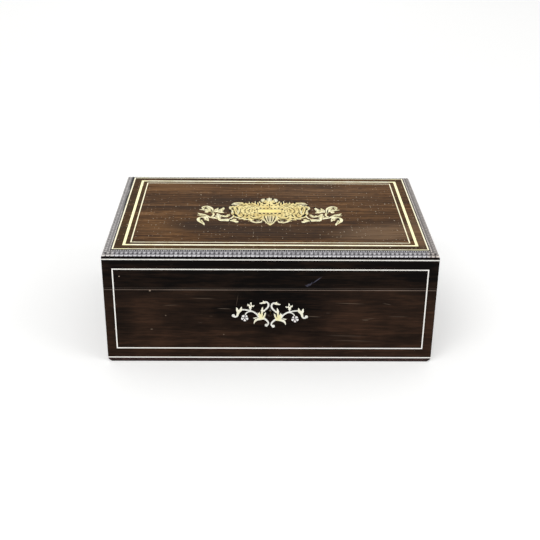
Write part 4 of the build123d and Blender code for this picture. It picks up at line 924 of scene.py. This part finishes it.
def layStroke(points, widths, gain):
    # A flat stroke in the XY plane, in millimetres, as a curve made into a mesh.
    startModelling()
    bpy.ops.curve.primitive_bezier_curve_add(location=(0, 0, 0))
    stroke = bpy.context.object
    stroke.data.resolution_u = strokeValues["steps"]
    stroke.data.bevel_depth = 0.5    # so that a point's radius is the stroke's width there
    stroke.data.bevel_resolution = 0
    stroke.data.use_fill_caps = True
    spline = stroke.data.splines[0]
    spline.bezier_points.add(len(points) - 2)
    for point, (x, y), width in zip(spline.bezier_points, points, widths):
        point.co = (x, y, 0)
        point.radius = width * gain
        point.handle_left_type = point.handle_right_type = "AUTO"
    bpy.ops.object.convert(target="MESH")
    return bpy.context.object


def layDot(x, y, radius):
    startModelling()
    bpy.ops.mesh.primitive_uv_sphere_add(segments=strokeValues["dotSides"],
                                         ring_count=strokeValues["dotSides"] // 2, radius=radius,
                                         location=(x, y, 0))
    dot = bpy.context.object
    bpy.ops.object.transform_apply(location=True, rotation=True, scale=True)
    return dot


def layInlay(name, strokes, dots, side, face, shift, material, body, slotName, gain, rise):
    # Draws strokes and dots, joins and flattens them, and lays them on the top or the front.
    made = [layStroke([(side * x + shift[0], y + shift[1]) for x, y in points], widths, gain)
            for points, widths in strokes]
    made += [layDot(side * x + shift[0], y + shift[1], radius * gain) for x, y, radius in dots]
    startModelling()
    for stroke in made:
        stroke.select_set(True)
    bpy.context.view_layer.objects.active = made[0]
    if len(made) > 1:
        bpy.ops.object.join()
    piece = bpy.context.object
    piece.name = name
    bpy.ops.object.mode_set(mode="EDIT")
    bpy.ops.mesh.select_all(action="SELECT")
    bpy.ops.mesh.remove_doubles(threshold=strokeValues["mergeMillimetres"])
    bpy.ops.transform.resize(value=(0.001, 0.001, rise), center_override=(0, 0, 0))
    bpy.ops.transform.translate(value=(0, 0, rise / 2))
    bpy.ops.mesh.normals_make_consistent(inside=False)
    bpy.ops.object.mode_set(mode="OBJECT")
    if face == "top":
        piece.location = (0, 0, boxTop)
    else:
        piece.rotation_euler = (math.radians(90), 0, 0)
        piece.location = (0, -halfDepth, 0)
    bpy.ops.object.transform_apply(location=True, rotation=True, scale=True)
    setMaterial(piece, material)
    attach(piece, body)
    return piece


def scaleCuts():
    cuts = []
    length, width = scaleValues["length"], scaleValues["width"]
    first, last = (math.radians(degrees) for degrees in scaleValues["arcDegrees"])
    for along, across in scaleValues["rows"]:
        turn = first
        while turn < last:
            pace = math.hypot(along * math.sin(turn), across * math.cos(turn))
            points = []
            for part, bulge in ((0, 1.0), (0.5, scaleValues["bulge"]), (1, 1.0)):
                angle = turn + part * length / pace
                points.append((bulge * along * math.cos(angle),
                               bulge * across * math.sin(angle) + scaleValues["middle"]))
            cuts.append((points, (scaleValues["tip"], width, scaleValues["tip"])))
            turn += (length + scaleValues["gap"]) / pace
    return cuts


def makeEngraving():
    top, front = engravingValues["top"], engravingValues["front"]
    linesOn = {"face": "top", "shift": (0, 0), "material": mastic, "body": "lid", "slotName": "mastic",
               "gain": top["lineGain"], "rise": strokeValues["cutRise"]}
    brassOn = dict(linesOn, material=sprayBrass, slotName="brass", gain=1.0, rise=strokeValues["flatRise"])
    veneerOn = dict(linesOn, material=topVeneer, slotName="rosewood_veneer")
    frontOn = {"face": "front", "material": mastic, "body": "base", "slotName": "mastic",
               "gain": front["lineGain"], "rise": strokeValues["cutRise"]}
    wallOn = dict(frontOn, material=wallVeneers["X"], slotName="ebonised_veneer")
    for side, name, shift in ((1, "left", (0, 0)), (-1, "right", front["rightShift"])):
        layInlay("polished_rims_" + name, top["pale"], [], side, **brassOn)
        layInlay("spray_leaves_" + name, top["spray"], [], side, **brassOn)
        layInlay("veneer_notches_" + name, top["notches"], [], side, **veneerOn)
        layInlay("engraved_lines_" + name, top["dark"] + scaleCuts(), top["darkDots"], side, **linesOn)
        layInlay("leaf_notches_" + name, front["notches"], [], side, shift=shift, **wallOn)
        layInlay("leaf_lines_" + name, front["dark"], front["darkDots"], side, shift=shift, **frontOn)
    layInlay("polished_rims_middle", top["middlePale"], [], 1, **brassOn)
    layInlay("engraved_lines_middle", top["middleDark"], top["middleDots"], 1, **linesOn)


makeEngraving()
print("engraving laid")


# Velvet linings: the cards' own shapes with rolled edges
liningValues = {
    "rollMillimetres": 0.55,
    "rollSegments": 2,
    "mergeMetres": 0.000001,
}


def makeLining(name, body):
    startModelling()
    piece = nodes[name].copy()
    piece.data = nodes[name].data.copy()
    piece.name = name + "_velvet"
    piece.parent = None
    bpy.context.scene.collection.objects.link(piece)
    piece.select_set(True)
    bpy.context.view_layer.objects.active = piece
    bpy.ops.object.mode_set(mode="EDIT")
    bpy.ops.mesh.select_mode(type="EDGE")
    bpy.ops.mesh.select_all(action="SELECT")
    bpy.ops.mesh.remove_doubles(threshold=liningValues["mergeMetres"])
    bpy.ops.mesh.dissolve_limited(angle_limit=math.radians(1))
    bpy.ops.mesh.select_all(action="DESELECT")
    bpy.ops.mesh.edges_select_sharp(sharpness=math.radians(30))
    bpy.ops.mesh.bevel(offset=liningValues["rollMillimetres"] / 1000,
                       segments=liningValues["rollSegments"], affect="EDGES")
    bpy.ops.object.mode_set(mode="OBJECT")
    bpy.ops.object.shade_smooth_by_angle(angle=math.radians(50))
    setMaterial(piece, velvet)
    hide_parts(name)
    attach(piece, body)


for name, body in (("floor_lining", "base"), ("base_wall_linings", "base"), ("lid_top_lining", "lid"),
                   ("lid_wall_linings", "lid")):
    makeLining(name, body)
print("linings made")


# Floor, lamps and world
stageValues = {
    "floorSize": 14.0,
    "floorGap": 0.0003,      # under the plinth, so that the two don't share a plane
    "floorColour": "F4F4F3",
    "floorGlow": 0.21,
    "worldStrength": 0.72,   # for what falls on the object; it shows as 1, which is white
    "aimHeight": 0.06,
    "lamps": [
        # name, place, size, power in watts
        ("key", (-0.9, -1.5, 1.9), 1.4, 16.5),
        ("fill", (1.5, -0.9, 1.3), 1.2, 7),
        ("back", (-0.15, 2.2, 1.15), 1.9, 2.9),
    ],
}


def addSeen(tree):
    # 1 for what the camera, metal or glass sees, and 0 for light that falls on a surface.
    ray = addNode(tree, "LightPath").outputs
    seen = ray["Is Camera Ray"]
    for kind in ("Is Glossy Ray", "Is Transmission Ray"):
        seen = addNode(tree, "Math", {0: seen, 1: ray[kind]}, operation="MAXIMUM").outputs[0]
    return seen


def makeStage():
    startModelling()
    bpy.ops.mesh.primitive_plane_add(size=stageValues["floorSize"], location=(0, 0, -stageValues["floorGap"]))
    floor = bpy.context.object
    floor.name = "floor"
    bpy.ops.object.transform_apply(location=True, rotation=True, scale=True)
    material, tree, shader = newMaterial("paper_backdrop", {
        "Roughness": 0.9, "Specular IOR Level": 0.1, "Base Color": linear(stageValues["floorColour"]),
        "Emission Color": (1, 1, 1, 1)})
    floor.data.materials.append(material)
    # The backdrop shows white where the box doesn't shade it, in metal as well as to the camera.
    glow = addNode(tree, "Math", {0: addSeen(tree), 1: stageValues["floorGlow"]}, operation="MULTIPLY")
    tree.links.new(glow.outputs[0], shader.inputs["Emission Strength"])
    for name, place, size, power in stageValues["lamps"]:
        data = bpy.data.lights.new(name, "AREA")
        data.shape = "DISK"
        data.size = size
        data.energy = power
        lamp = bpy.data.objects.new(name, data)
        bpy.context.scene.collection.objects.link(lamp)
        aim = Vector((0, 0, stageValues["aimHeight"])) - Vector(place)
        lamp.matrix_world = Matrix.Translation(place) @ aim.to_track_quat("-Z", "Y").to_matrix().to_4x4()
    world = bpy.data.worlds.new("studio")
    bpy.context.scene.world = world
    world.use_nodes = True
    tree = world.node_tree
    background = tree.nodes["Background"]
    background.inputs["Color"].default_value = (1, 1, 1, 1)
    strength = addNode(tree, "MapRange", {"Value": addSeen(tree), "To Min": stageValues["worldStrength"],
                                          "To Max": 1.0})
    tree.links.new(strength.outputs[0], background.inputs["Strength"])


makeStage()
print("stage set")

startModelling()
